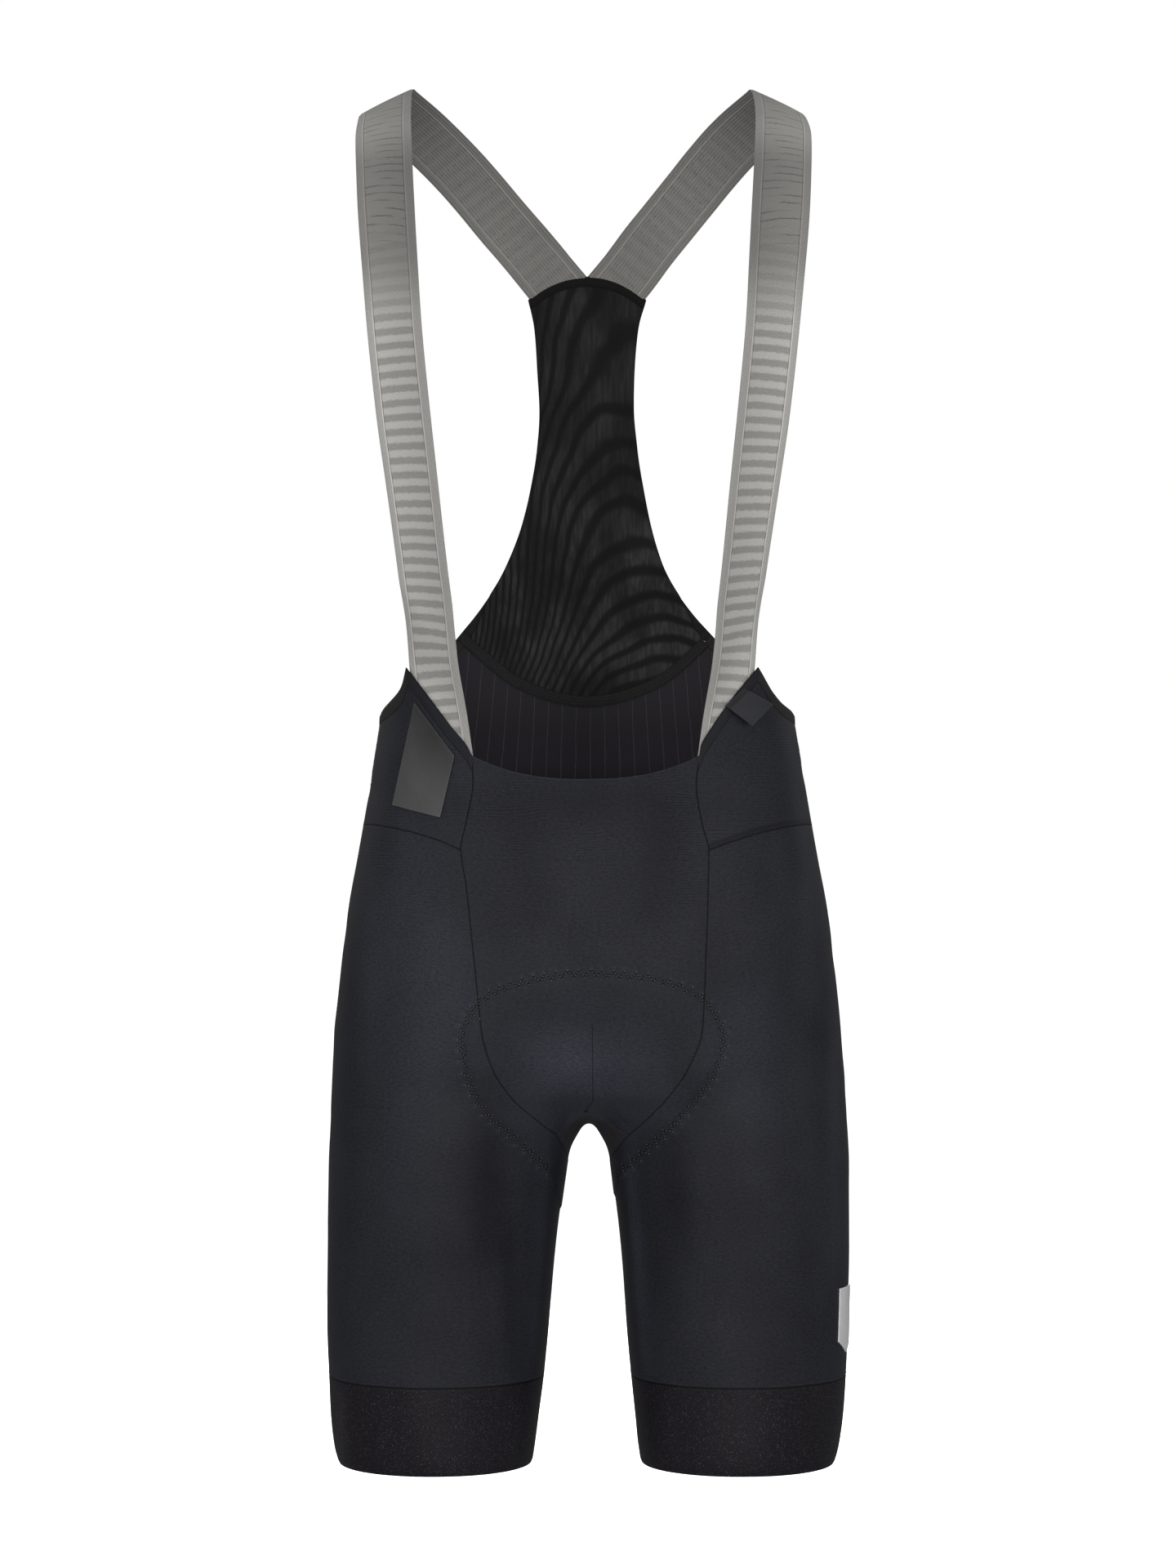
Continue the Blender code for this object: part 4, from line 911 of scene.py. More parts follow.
def stretchKnit(look):
    place, u, v = look.across()
    solid, x, _, z = look.solid()
    fine = look.noise(place, 0.9, 2.0, 0.6)
    broad = look.noise(solid, 38, 2.0)
    wander = look.noise(look.stretch(solid, 0.35, 0.35, 1.0), 16, 1.0)
    courses = wave(z + wander * 7, 1.7)
    patchy = look.noise(solid, 30, 1.0).rise(0.42, 0.62) * z.rise(-590, -500)
    grain = look.noise(look.stretch(place, 0.55, 1.0, 1.0), 1.5, 1.0)
    amount = 0.5 + (fine - 0.5) * 1.3 + (grain - 0.5) * 0.9 + (broad - 0.5) * 0.45
    amount = amount + (courses - 0.5) * patchy * 0.36
    look.weave(amount)
    specks = look.noise(place, 0.55, 1.0, 0.4).rise(0.73, 0.8)
    look.tint(specks * 0.35, look.speck)
    seam = look.measure("seam")
    if hasattr(look, "turnUp"):  # the seam allowance that lies under the cloth
        under = look.measure("fromBottom")
        fold = under.rise(0.2, 0.7) * (1 - under.rise(3.2, 4.6)) * x.rise(20, 60)
        look.tint(fold * 0.4, look.seamColour)
    near = 1 - seam.rise(0.1, 0.6)
    look.tint(near * 0.6, look.seamColour)
    grooveAndShadow, puckerAndHighlight, inside = look.padLine()
    # painted light and shade: the stroke bands, a painted shadow in the zigzag groove, painted highlights on
    # the puckers and painted shade just inside the pad line
    paintedShading = look.measure("paintedShading") * (1 - grooveAndShadow * 0.34 + puckerAndHighlight * 0.42 - inside * 0.1)
    wales = wave(u + wander * 6, 0.62) * wave(v, 0.5)
    height = wales * 0.02 + fine * 0.05 + courses * patchy * 0.04 + seam.rise(0, 1.4) * 0.25
    height = height - grooveAndShadow * 0.2 + puckerAndHighlight * 0.25
    if hasattr(look, "facing"):  # the hem of the waist, turned in and sewn
        # painted highlight: the top 1.6 mm of the waist, along its fold, is painted up to half again lighter
        paintedShading = paintedShading * (1 + (1 - look.measure("fromTop").rise(0.4, 1.6)) * 0.5)
        edge = look.noise(solid, 12, 1.0) * 0.6 + z
        height = height + edge.rise(-518.0, -517.2) * 0.16 + edge.rise(-487.4, -486.4) * 0.05
    look.dim(paintedShading)
    return look.done(height, 0.7)


def pinstripeKnit(look):
    u = look.across()[1]
    solid, x, _, z = look.solid()
    fine = look.noise(solid, 0.9, 2.0, 0.6)
    look.weave(0.5 + (fine - 0.5) * 1.1)
    sway = (look.noise(solid, 14, 1.0) - 0.5) * 0.09
    turn = (u + sway + 0.5).part() - 0.5
    stripe = line(turn * look.pitch, look.width, 0.22)
    broken = 0.55 + 0.45 * look.noise(solid, 1.1, 1.0).rise(0.35, 0.6)
    look.tint(stripe * broken, look.stripe)
    seam = look.measure("seam")
    look.tint((1 - seam.rise(0.25, 1.2)) * 0.7, look.seamColour)
    if hasattr(look, "trimColour"):  # a narrow tape along the front edge
        trim = 1 - look.measure("fromTop").rise(1.3, 1.8)
        look.tint(trim * (0.55 + 0.45 * wave(x, 1.6)), look.trimColour)
    if hasattr(look, "glow"):  # light that comes in over the waist
        look.dim(1 + look.glow * (1 - z.rise(-462, -420)))
    return look.done(fine * 0.05 + stripe * 0.05 + seam.rise(0, 1.6) * 0.3, 0.7)


def netKnit(look):
    solid, x, _, z = look.solid()
    u, v = look.across()[1:]
    warp = (look.noise(solid, 52, 0.0) - 0.5) * 1.3 + (look.noise(solid, 17, 0.0) - 0.5) * 0.25
    crest = (1 - z.rise(-380, -250)) * look.crestShift + look.crestX
    dx, dz = x - crest, z - look.crestZ
    arcs = dx * dx * look.spread + dz / look.pitch - dz * dz / look.easing + warp
    sheenArcs = wave(arcs, 1.0).rise(0.0, 0.7)
    streaks = look.noise(look.stretch(solid, 1.0, 1.0, 0.09), 2.0, 2.0).rise(0.3, 0.75)
    patch = look.noise(look.stretch(solid, 1.0, 1.0, 0.5), 22, 1.0).rise(0.36, 0.66)
    patch = patch * 0.8 + dx.rise(-60, 30) * (1 - dz.rise(90, 170)) * 0.3
    patch = patch * (1 - z.rise(-350, -260) * 0.3)
    # painted sheen: the net is painted with light moiré arcs, streaks and patches, dimmer towards the top
    shine = 0.04 + 0.05 * patch + sheenArcs * (0.16 + 0.46 * patch) * (0.45 + 0.7 * streaks)
    holes = wave(u, 0.85) * wave(v, 0.95)
    look.weave(shine)
    look.tint(holes.rise(0.45, 0.8) * 0.4, look.hole)
    seam = look.measure("seam")
    look.tint((1 - seam.rise(0.2, 1.0)) * 0.7, look.hole)
    return look.done(holes * -0.12 + streaks * 0.05, 0.6)


def trimKnit(look):
    place, u, v = look.across()
    fine = look.noise(place, 0.8, 2.0, 0.6)
    ribs = wave(v, look.rib)
    cross = wave(u, look.stitch)
    look.weave(fine * 0.7 + ribs * cross * 0.4)
    near = 1 - look.measure("seam").rise(0.1, 0.6)
    look.tint(near * 0.6, look.seamColour)
    rim = 1 - look.measure("fromTop").rise(0.2, 0.9)
    look.tint(rim * 0.6, look.seamColour)
    return look.done(ribs * look.depth + cross * look.depth * 0.6 + fine * 0.05 - near * 0.2, 0.8)


def bandKnit(look):
    u, solid = look.across()[1], look.solid()[0]
    fine = look.noise(solid, 0.8, 2.0, 0.7)
    broad = look.noise(look.stretch(solid, 1.0, 1.0, 0.25), 24, 2.0)
    look.weave(0.5 + (fine - 0.5) * 1.5 + (broad - 0.5) * 0.6)
    specks = look.noise(solid, 0.6, 0.0).rise(0.68, 0.78)
    look.tint(specks * 0.6, look.speck)
    seam = look.measure("seam")
    look.tint((1 - seam.rise(0.2, 1.2)) * 0.9, look.seamColour)
    # painted light and shade from the stroke bands
    look.dim(look.measure("paintedShading"))
    return look.done(fine * 0.08 + wave(u, 0.9) * 0.03 + seam.rise(0, 1.6) * 0.35, 0.8)


def webbing(look, inside, side=1):
    place, u, v = look.across()
    fine = look.noise(place, 0.7, 2.0, 0.7)
    edge = look.halfWidth - u.size()
    between = edge.rise(look.line, look.line + 0.8)
    rail = line(edge - look.line, 0.5, 0.35)
    if inside:
        cords = wave(u, look.cord)
        picks = wave(v, look.pick)
        bars = wave(v, look.backPitch)
        ticks = look.noise(look.stretch(place, 1.0, 0.45, 1.0), 1.6, 0.0).rise(0.52, 0.7)
        ticks = ticks * line((v / 4.7).part() * 4.7 - 2.35, 0.9, 0.6) * between
        amount = 0.26 + cords * 0.36 + picks * 0.08 + (fine - 0.5) * 0.22
        amount = amount + bars * between * 0.14 - ticks * 0.3
        look.weave(amount)
        look.tint(rail * 0.7, look.rail)
        height = cords * 0.24 + picks * 0.08 + fine * 0.06
    else:
        uneven = look.noise(place, 3.5, 1.0) - 0.5
        straight = v + u * (0.07 * side) + u * u * 0.002
        bars = wave(straight + uneven * 1.6 + look.barShift, look.barPitch).rise(0.24, 0.76)
        low = 1 - v.rise(look.barEnd - 40, look.barEnd) * 0.72
        high = v.rise(look.lineStart - 20, look.lineStart + 10)
        slope = v + u * (0.33 * side) + u * u * 0.006 + uneven * 1.6
        rung = line(((slope / look.linePitch).part() - 0.5) * look.linePitch, 0.4, 0.4)
        rung = rung * look.noise(look.stretch(place, 0.25, 1.0, 1.0), 7, 0.0).rise(0.3, 0.6)
        weave = wave(u, 1.15) * wave(v, 1.3)
        amount = 0.42 + (fine - 0.5) * 1.3 + (bars - 0.5) * between * low * (1 - high) * 0.56
        look.weave(amount + (weave - 0.25) * 0.12)
        look.tint(rung * between * high * 0.6, look.shadow)
        shade = line(edge - look.line - 0.75, 0.4, 0.3)
        look.tint(shade * 0.4, look.shadow)
        look.tint(rail * (0.3 + 0.35 * low), look.rail)
        # painted shade: the strap is painted darker between heights -175 and -28 mm, and across its width
        # lighter at one edge and darker at the other, as the light falls
        z = look.solid()[3]
        dip = z.rise(-175, -118) * (1 - z.rise(-66, -28))
        look.dim((0.9 - dip * 0.37) * (1 - u * (0.0085 * side)))
        height = fine * 0.1 + weave * 0.06 + bars * between * low * 0.08 - rung * between * high * 0.25
        height = height - shade * 0.2
    return look.done(height, 0.9)


def satin(look):
    place, u, _ = look.across()
    fine = look.noise(look.stretch(place, 1.0, 0.3, 1.0), 0.7, 2.0, 0.6)
    broad = look.noise(place, 22, 2.0)
    amount = 0.5 + (fine - 0.5) * 0.7 + (broad - 0.5) * 1.0
    look.weave(amount)
    if hasattr(look, "fade"):  # painted shade and sheen: the satin is painted darker from one end, as far as this
        end, start, stop = look.fade
        fade = look.measure(end).rise(start, stop)
        look.dim(look.fadeLow + (1 - look.fadeLow) * fade)
    edge = look.measure("seam")
    look.tint((1 - edge.rise(0.3, 0.9)) * look.rim, look.rimColour)
    return look.done(fine * 0.04 + wave(u, 0.45) * 0.02, 0.5)


def thread(look):
    twist = look.noise(look.solid()[0], 0.5, 1.0)
    look.feed("Base Color", look.blend(twist, look.dark, look.light))
    return look


lycra = {
    "dark": (0.0063, 0.0067, 0.0090), "light": (0.0210, 0.0216, 0.0278), "speck": (0.075, 0.07, 0.075),
    "seamColour": (0.002, 0.002, 0.0025), "finish": (0.52, 0.07),
}
backKnit = {
    "dark": (0.0118, 0.0105, 0.0135), "light": (0.0178, 0.0157, 0.0200), "stripe": (0.042, 0.034, 0.033),
    "seamColour": (0.002, 0.002, 0.0022), "pitch": 9.8, "width": 0.34, "finish": (0.6, 0.1),
}
gussetKnit = dict(
    backKnit, dark=(0.017, 0.0155, 0.018), light=(0.028, 0.026, 0.029), trimColour=(0.045, 0.043, 0.045)
)
meshNet = {
    "dark": (0.0021, 0.0020, 0.0022), "light": (0.040, 0.039, 0.040), "hole": (0.0012, 0.0012, 0.0014),
    "crestX": 24, "crestShift": 24, "crestZ": -400, "spread": 0.00113, "pitch": 13.5, "easing": 9000,
    "finish": (0.6, 0.08),
}
trimCloth = {
    "dark": (0.0045, 0.0045, 0.0049), "light": (0.0135, 0.0133, 0.0142), "seamColour": (0.002, 0.002, 0.002),
    "rib": 1.3, "stitch": 1.1, "depth": 0.12, "finish": (0.65, 0.1),
}
bindingCloth = dict(
    trimCloth, dark=(0.0072, 0.0074, 0.0092), light=(0.0162, 0.0166, 0.0204), rib=0.9, depth=0.05
)
armholeCloth = dict(
    trimCloth, dark=(0.010, 0.0095, 0.0091), light=(0.022, 0.0206, 0.0196), rib=1.1, depth=0.06
)
topBandCloth = dict(trimCloth, dark=(0.0015, 0.0015, 0.0016), light=(0.0046, 0.0045, 0.0048))
tapeCloth = dict(trimCloth, light=(0.021, 0.0205, 0.021), rib=1.9, stitch=1.3, depth=0.25)
bandCloth = {
    "dark": (0.0034, 0.0030, 0.0041), "light": (0.0112, 0.0098, 0.0131), "speck": (0.08, 0.072, 0.075),
    "seamColour": (0.002, 0.002, 0.002), "finish": (0.52, 0.08),
}
strapWeb = {
    "halfWidth": 20.5, "line": 5.6, "barPitch": 9.36, "barShift": 0, "backPitch": 10, "barEnd": 300,
    "lineStart": 335, "linePitch": 6.0, "cord": 2.05, "pick": 1.25, "dark": (0.205, 0.201, 0.188),
    "light": (0.46, 0.452, 0.428), "shadow": (0.1, 0.098, 0.09), "rail": (0.56, 0.55, 0.53),
    "finish": (0.85, 0.15, 0.08, 0.5),
}
strapBack = dict(strapWeb, dark=(0.093, 0.09, 0.084), light=(0.208, 0.203, 0.192), rail=(0.26, 0.255, 0.24))
patchCloth = {
    "dark": (0.036, 0.0345, 0.0345), "light": (0.064, 0.0615, 0.0615), "rim": 0.35,
    "rimColour": (0.075, 0.072, 0.071), "fade": ("fromTop", -4, 44), "fadeLow": 0.34, "finish": (0.45, 0.2),
}
tagCloth = dict(
    patchCloth, dark=(0.0125, 0.0128, 0.0155), light=(0.0215, 0.022, 0.0262), rimColour=(0.03, 0.03, 0.034),
    fade=("fromLeft", 3.2, 4.2), fadeLow=0.5, finish=(0.6, 0.2),
)
badgeFilm = {
    "dark": (0.42, 0.41, 0.42), "light": (0.56, 0.55, 0.56), "rim": 0.6, "rimColour": (0.66, 0.65, 0.66),
    "finish": (0.35, 0.5),
}
darkThread = {"dark": (0.0012, 0.0012, 0.0014), "light": (0.004, 0.004, 0.0045), "finish": (0.7, 0.2)}
greyThread = {"dark": (0.06, 0.06, 0.065), "light": (0.13, 0.128, 0.135), "finish": (0.6, 0.3)}
softThread = dict(greyThread, dark=(0.02, 0.02, 0.022), light=(0.04, 0.039, 0.042))
looks = {
    "front": stretchKnit(Look("stretchKnitFront", dict(lycra, facing=True))),
    "side": stretchKnit(Look("stretchKnitSide", dict(lycra, turnUp=True))),
    "leg": stretchKnit(Look("stretchKnitLeg", lycra)), "back": pinstripeKnit(Look("pinstripeKnit", backKnit)),
    "backInside": pinstripeKnit(Look("pinstripeKnitInside", dict(backKnit, glow=0.85))),
    "gusset": pinstripeKnit(Look("pinstripeKnitGusset", gussetKnit)),
    "net": netKnit(Look("meshNet", meshNet)), "trim": trimKnit(Look("trimCloth", trimCloth)),
    "topBand": trimKnit(Look("topBandCloth", topBandCloth)),
    "binding": trimKnit(Look("bindingCloth", bindingCloth)),
    "armhole": trimKnit(Look("armholeCloth", armholeCloth)), "tape": trimKnit(Look("tapeCloth", tapeCloth)),
    "band": bandKnit(Look("bandCloth", bandCloth)),
    # the two strap looks are mirror copies: their bars slant opposite ways, and each has its own painted
    # shading across its width
    "strapleft": webbing(Look("strapWebLeft", strapWeb), False, -1),
    "strapright": webbing(Look("strapWebRight", strapWeb), False, 1),
    "strapBack": webbing(Look("strapWebInside", strapBack), True),
    "patch": satin(Look("patchCloth", patchCloth)), "tag": satin(Look("tagCloth", tagCloth)),
    "badge": satin(Look("badgeFilm", badgeFilm)), "darkThread": thread(Look("darkThread", darkThread)),
    "greyThread": thread(Look("greyThread", greyThread)),
    "softThread": thread(Look("softThread", softThread)),
}
print("looks made:", len(looks))

# stitches

def stitchTree():
    tree = bpy.data.node_groups.new("stitchRow", "GeometryNodeTree")
    tree.interface.new_socket("Path", in_out="INPUT", socket_type="NodeSocketGeometry")
    for name, kind, value in (
        ("Even", "NodeSocketBool", True), ("Spacing", "NodeSocketFloat", 0.002),
        ("Length", "NodeSocketFloat", 0.0015), ("Width", "NodeSocketFloat", 0.0005),
        ("Height", "NodeSocketFloat", 0.0004),
    ):
        tree.interface.new_socket(name, in_out="INPUT", socket_type=kind).default_value = value
    tree.interface.new_socket("Thread", in_out="INPUT", socket_type="NodeSocketMaterial")
    tree.interface.new_socket("Stitches", in_out="OUTPUT", socket_type="NodeSocketGeometry")

    def add(*how):
        return addNode(tree, *how)

    given = add("NodeGroupInput").outputs
    curve = add("GeometryNodeMeshToCurve", None, {0: given["Path"]}).outputs[0]
    even = add("GeometryNodeResampleCurve", {"mode": "LENGTH"}, {"Curve": curve, "Length": given["Spacing"]})
    choices = {0: given["Even"], 1: curve, 2: even.outputs[0]}
    chosen = add("GeometryNodeSwitch", {"input_type": "GEOMETRY"}, choices)
    bead = add("GeometryNodeMeshIcoSphere", None, {"Radius": 0.5, "Subdivisions": 1})
    tangent = add("GeometryNodeInputTangent")
    up = add("GeometryNodeInputNamedAttribute", {"data_type": "FLOAT_VECTOR"}, {"Name": "up"})
    turn = add(
        "FunctionNodeAxesToRotation", {"primary_axis": "X", "secondary_axis": "Z"},
        {0: tangent.outputs[0], 1: up.outputs[0]},
    )
    size = add("ShaderNodeCombineXYZ", None, {0: given["Length"], 1: given["Width"], 2: given["Height"]})
    placed = add(
        "GeometryNodeInstanceOnPoints", None,
        {
            "Points": chosen.outputs[0], "Instance": bead.outputs[0], "Rotation": turn.outputs[0],
            "Scale": size.outputs[0],
        },
    )
    real = add("GeometryNodeRealizeInstances", None, {0: placed.outputs[0]})
    shaded = add("GeometryNodeSetShadeSmooth", None, {0: real.outputs[0]})
    dress = {"Geometry": shaded.outputs[0], "Material": given["Thread"]}
    dressed = add("GeometryNodeSetMaterial", None, dress)
    tree.links.new(dressed.outputs[0], add("NodeGroupOutput").inputs[0])
    return tree


stitchRow = stitchTree()
pieces, trimmings = {}, {}


def sew(name, paths, look, sizes, node, even=True, lift=0.15):  # rows of stitches on the cloth of a piece
    points, normals, edges = [], [], []
    for path in paths:
        at, facing = path if isinstance(path, tuple) else onCloth(path, lift)
        edges += [(len(points) + k, len(points) + k + 1) for k in range(len(at) - 1)]
        points += (at * 0.001).tolist()
        normals += facing.tolist()
    mesh = bpy.data.meshes.new(name + "Path")
    mesh.from_pydata(points, edges, [])
    mesh.attributes.new("up", "FLOAT_VECTOR", "POINT").data.foreach_set("vector", np.ravel(normals))
    guide = stand(name + "Path", mesh)
    rows = guide.modifiers.new("stitchRow", "NODES")
    rows.node_group = stitchRow
    spacing, length, width, height = (value * 0.001 for value in sizes)
    values = dict(Even=even, Spacing=spacing, Length=length, Width=width, Height=height)
    values["Thread"] = looks[look].material
    for socket in stitchRow.interface.items_tree:
        if socket.name in values:
            rows[socket.identifier] = values[socket.name]
    graph = bpy.context.evaluated_depsgraph_get()
    made = bpy.data.meshes.new_from_object(guide.evaluated_get(graph), depsgraph=graph)
    guide.modifiers.clear()
    bpy.data.objects.remove(guide)
    made.name = name
    if not made.materials:
        made.materials.append(looks[look].material)
    piece = stand(name, made)
    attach(piece, "root")
    trimmings.setdefault(node, []).append(piece)


def put(name, grid, look, inside=None, **shape):
    points, normals = onCloth(grid)
    pieces[name] = shell(name, points, normals, [looks[look], looks[inside or look]], **shape)


def crowned(grid, low, rise):  # a narrow folded strip, fuller along its middle
    t = np.linspace(-1, 1, grid.shape[0])[:, None]
    return low + rise * (1 - t**2) + np.zeros(grid.shape[:2])


left, right = sideLines(-1), sideLines(1)
seam = meshSeam(left, right)
print("seams and edges worked out")

bothSides = ((-1, "left", left), (1, "right", right))
panel = {"net": 1.0, "trim": 1.8, "topBand": 2.3, "border": 1.1, "band": 1.4, "tape": 2.1}  # thicknesses

put("front_panel", frontPanel(left, right), "front", seamSides=("bottom", "left", "right"), soft=("top",))

stripePitch = {  # how far apart the pinstripes are, and how they lie and bend
    "heights": (-700, -560, -470, -418, -385), "pitch": (9.0, 11.2, 10.5, 9.75, 9.4), "middle": 2.2,
    "gussetBend": 7,
}
gusset = crotchGusset(left, right)
reach = lengthsOf(gusset, 0)
stripes = reach - reach[-1:] / 2 + stripePitch["gussetBend"] * np.linspace(-1, 1, gusset.shape[1]) ** 2
stripeUv = stack(stripes / backKnit["pitch"], gusset[..., 0])
put("crotch_gusset", gusset, "gusset", proud=-0.12, seamSides=allSides, uv=stripeUv)

back = backPanel(left, right, seam)
pitch = np.interp(back[..., 2], stripePitch["heights"], stripePitch["pitch"])
stripeUv = stack((back[..., 0] - stripePitch["middle"]) / pitch, back[..., 2])
put("back_panel", back, "back", "backInside", seamSides=allSides, uv=stripeUv)

for name, grid in upperBack(left, right, seam).items():
    if name == "back_mesh":
        put(name, grid, "net", thickness=panel["net"], seamSides=allSides)
    elif name == "mesh_top_band":
        fullness = crowned(grid, 0.2, 0.25)
        put(name, grid, "topBand", proud=fullness, thickness=panel["topBand"], soft=("top", "bottom"))
    else:
        put(name, grid, "trim", proud=crowned(grid, 0.3, 0.35), thickness=panel["border"], soft=("top",))
tape = seamTape(left, right, seam)
put("back_seam_tape", tape, "tape", proud=-1.0, thickness=panel["tape"], soft=("top", "bottom"))

for side, word, lines in bothSides:
    put("side_panel_" + word, sidePanel(side, lines), "side", seamSides=allSides)
    put("leg_panel_" + word, legPanel(side, lines), "leg", seamSides=allSides)
    how = {"proud": 0.1, "thickness": panel["band"], "closed": True}
    put("leg_band_" + word, legBand(side), "band", seamSides=("top",), soft=("bottom",), **how)
    for name, look, edge, inner in (
        ("front_binding_", "binding", lines["bindingEdge"], lines["bindingInner"]),
        ("armhole_band_", "armhole", lines["bandEdge"], lines["bandInner"]),
    ):
        grid = inset(strip(edge, inner), ("bottom",), by=-trims["overlap"])
        how = {"proud": crowned(grid, 0.15, 0.35), "thickness": panel["trim"]}
        put(name + word, grid, look, seamSides=("bottom",), soft=("top",), **how)
print("cloth pieces made:", len(pieces))

strapRun = {  # middle line: half width, y, z, drift, lean of the face, twist, tilt
    "rows": (
        (85.5, -88, -480, -2.4, 38, 5.5, 0), (93, -88, -432, -2.4, 38, 5.5, 0),
        (99.8, -88, -388, -2.4, 37.5, 5.5, 0), (101.8, -92, -357, -2.4, 39.8, 4.3, 0),
        (105, -97, -330, -2.4, 39, 3.5, 0), (111.2, -104, -278, -2.4, 35.5, 2, 0),
        (117.6, -108, -225, -2.4, 31.3, 1.5, 0), (123, -107, -172, -2.4, 29.1, 0.8, 3),
        (126, -103, -132, -2.4, 27, -0.7, 12), (128.6, -93, -98, -2.4, 26, -1.5, 23.3),
        (131, -74, -64, -2.4, 29.7, -1.5, 36.7), (133, -41, -28, -2.6, 43, -1.5, 52.4),
        (131, -3, -10, -3.6, 90, -3, 65), (118, 36, -17, -3.3, 136.5, -7, 55.4),
        (102.5, 58, -29.3, -3, 155.2, -12, 40), (87.2, 73, -44, -2.1, 164.6, -13, 31.1),
        (72.7, 84, -60, -1.4, 169.9, -14, 23.6), (59, 91, -76, -1.2, 174, -13, 17.4),
        (44.6, 95, -93, -0.9, 177, -10, 11.5), (26.8, 98, -115, 0, 180, -4, 5.7),
        (8, 99, -137, 0, 180, 0, 5.7),
    ),
    "width": 41, "bow": 0.6, "thickness": 1.6, "cover": 8,
    "gap": -2.4,  # how far short of the mesh band they stop: less than nothing, so they are sewn in
    "cutReach": 0.25, "past": 3, "frontFade": 26, "backHold": 20, "backFade": 34, "depth": 2.5,
    "crowding": 0.04, "ripple": 0.12,
}


def strap(side, lines):
    halfWidth, y, z, drift, lean, twist, tilt = dense(strapRun["rows"]).T
    middle = stack(side * halfWidth + drift, y, z)
    lengths = running(middle)
    run = unit(np.gradient(middle, axis=0))
    lean, tilt = np.radians(lean + side * twist), np.radians(tilt)
    face = stack(side * np.sin(lean) * np.cos(tilt), -np.cos(lean) * np.cos(tilt), np.sin(tilt))
    face = unit(face - (face * run).sum(-1, keepdims=True) * run)
    across = np.cross(face, run)

    def place(length, offset):
        bow = strapRun["bow"] * (1 - (2 * offset / strapRun["width"]) ** 2)[..., None]
        on, aside, out = (read(length, lengths, part) for part in (middle, across, face))
        return on + aside * offset[..., None] + out * bow

    offsets = np.linspace(-0.5, 0.5, divisions["strapColumns"] + 1) * strapRun["width"]
    ladder = np.linspace(0, lengths[-1], divisions["ladder"])
    apex, corner = lines["bindingEdge"][0], lines["bindingEdge"][-1]
    down = unit(corner - apex)[[2, 0]] * [-1, 1]
    down *= -np.sign(down[1])
    top = lines["meshSide"][0]
    starts, ends = [], []
    for offset in offsets:
        path = place(ladder, np.full(len(ladder), offset))
        below = seenFlat(path - apex) @ down
        starts.append(ladder[np.argmax(below < strapRun["cover"])])
        reach = abs(top[0])
        crown = meshCrown(np.clip(path[:, 0], -reach, reach), reach, top[2])
        past = (path[:, 2] < crown + strapRun["gap"]) | (side * path[:, 0] < seams["gap"])
        ends.append(ladder[np.argmax(past & (path[:, 1] > 0))])
    starts, ends = np.array(starts), np.array(ends)
    u = np.linspace(0, 1, divisions["strapRows"] + 1)[:, None]
    u = u - strapRun["crowding"] * np.sin(2 * np.pi * u)
    length = starts.mean() + (ends.mean() - starts.mean()) * u
    length = length + (starts - starts.mean()) * np.maximum(1 - u / strapRun["cutReach"], 0) ** 2
    length = length + (ends - ends.mean()) * np.maximum(1 - (1 - u) / strapRun["cutReach"], 0) ** 2
    grid = place(length, np.broadcast_to(offsets, length.shape))
    toward = read(length, lengths, face)
    above = -seenFlat(grid - apex) @ down
    frontHold = np.clip(1 - (above - strapRun["past"]) / strapRun["frontFade"], 0, 1)[..., None]
    backHold = np.clip(1 - (ends - length - strapRun["backHold"]) / strapRun["backFade"], 0, 1)[..., None]
    facing = np.where(frontHold[..., 0] > 0, -1.0, 1.0)
    held = frontPoint(grid[..., 0], grid[..., 2], facing)
    held = held - figureNormal(held) * strapRun["depth"] * (frontHold > 0)
    hold = frontHold + backHold
    grid = mix(grid, held, hold * hold * (3 - 2 * hold))
    normals = unit(np.cross(np.gradient(grid, axis=0), np.gradient(grid, axis=1)))
    normals = np.where((normals * toward).sum(-1, keepdims=True) < 0, -normals, normals)
    return grid, normals, stack(offsets, length - starts.mean())


for side, word, lines in bothSides:
    grid, normals, uv = strap(side, lines)
    ripple = strapRun["ripple"] * np.sin(uv[..., 1] / 21 + side) * np.sin(uv[..., 0] / 9)
    pieces["strap_" + word] = shell(
        "strap_" + word, grid + normals * ripple[..., None], normals,
        [looks["strap" + word], looks["strapBack"]], thickness=strapRun["thickness"], soft=("left", "right"),
        uv=uv,
    )
print("straps made")

labels = {  # corners clockwise from the top left: x, height, and how far they stand off
    "patch": ((-112.3, -415.5, 0.4), (-86, -450.5, 0.4), (-95.1, -490.4, 0.4), (-126.9, -482.5, 0.4)),
    "tag": ((101.4, -406.3, 0.9), (118.2, -416.6, 4.0), (104.8, -431.2, 4.6), (89.6, -417.6, 0.9)),
    "thickness": 1.0, "tagCurl": 0.7, "badgeTurns": (31.0, 5.0), "badgeTop": -803.5, "badgeCorner": -839,
    "badgeTip": -848, "badgeThickness": 0.9,
}


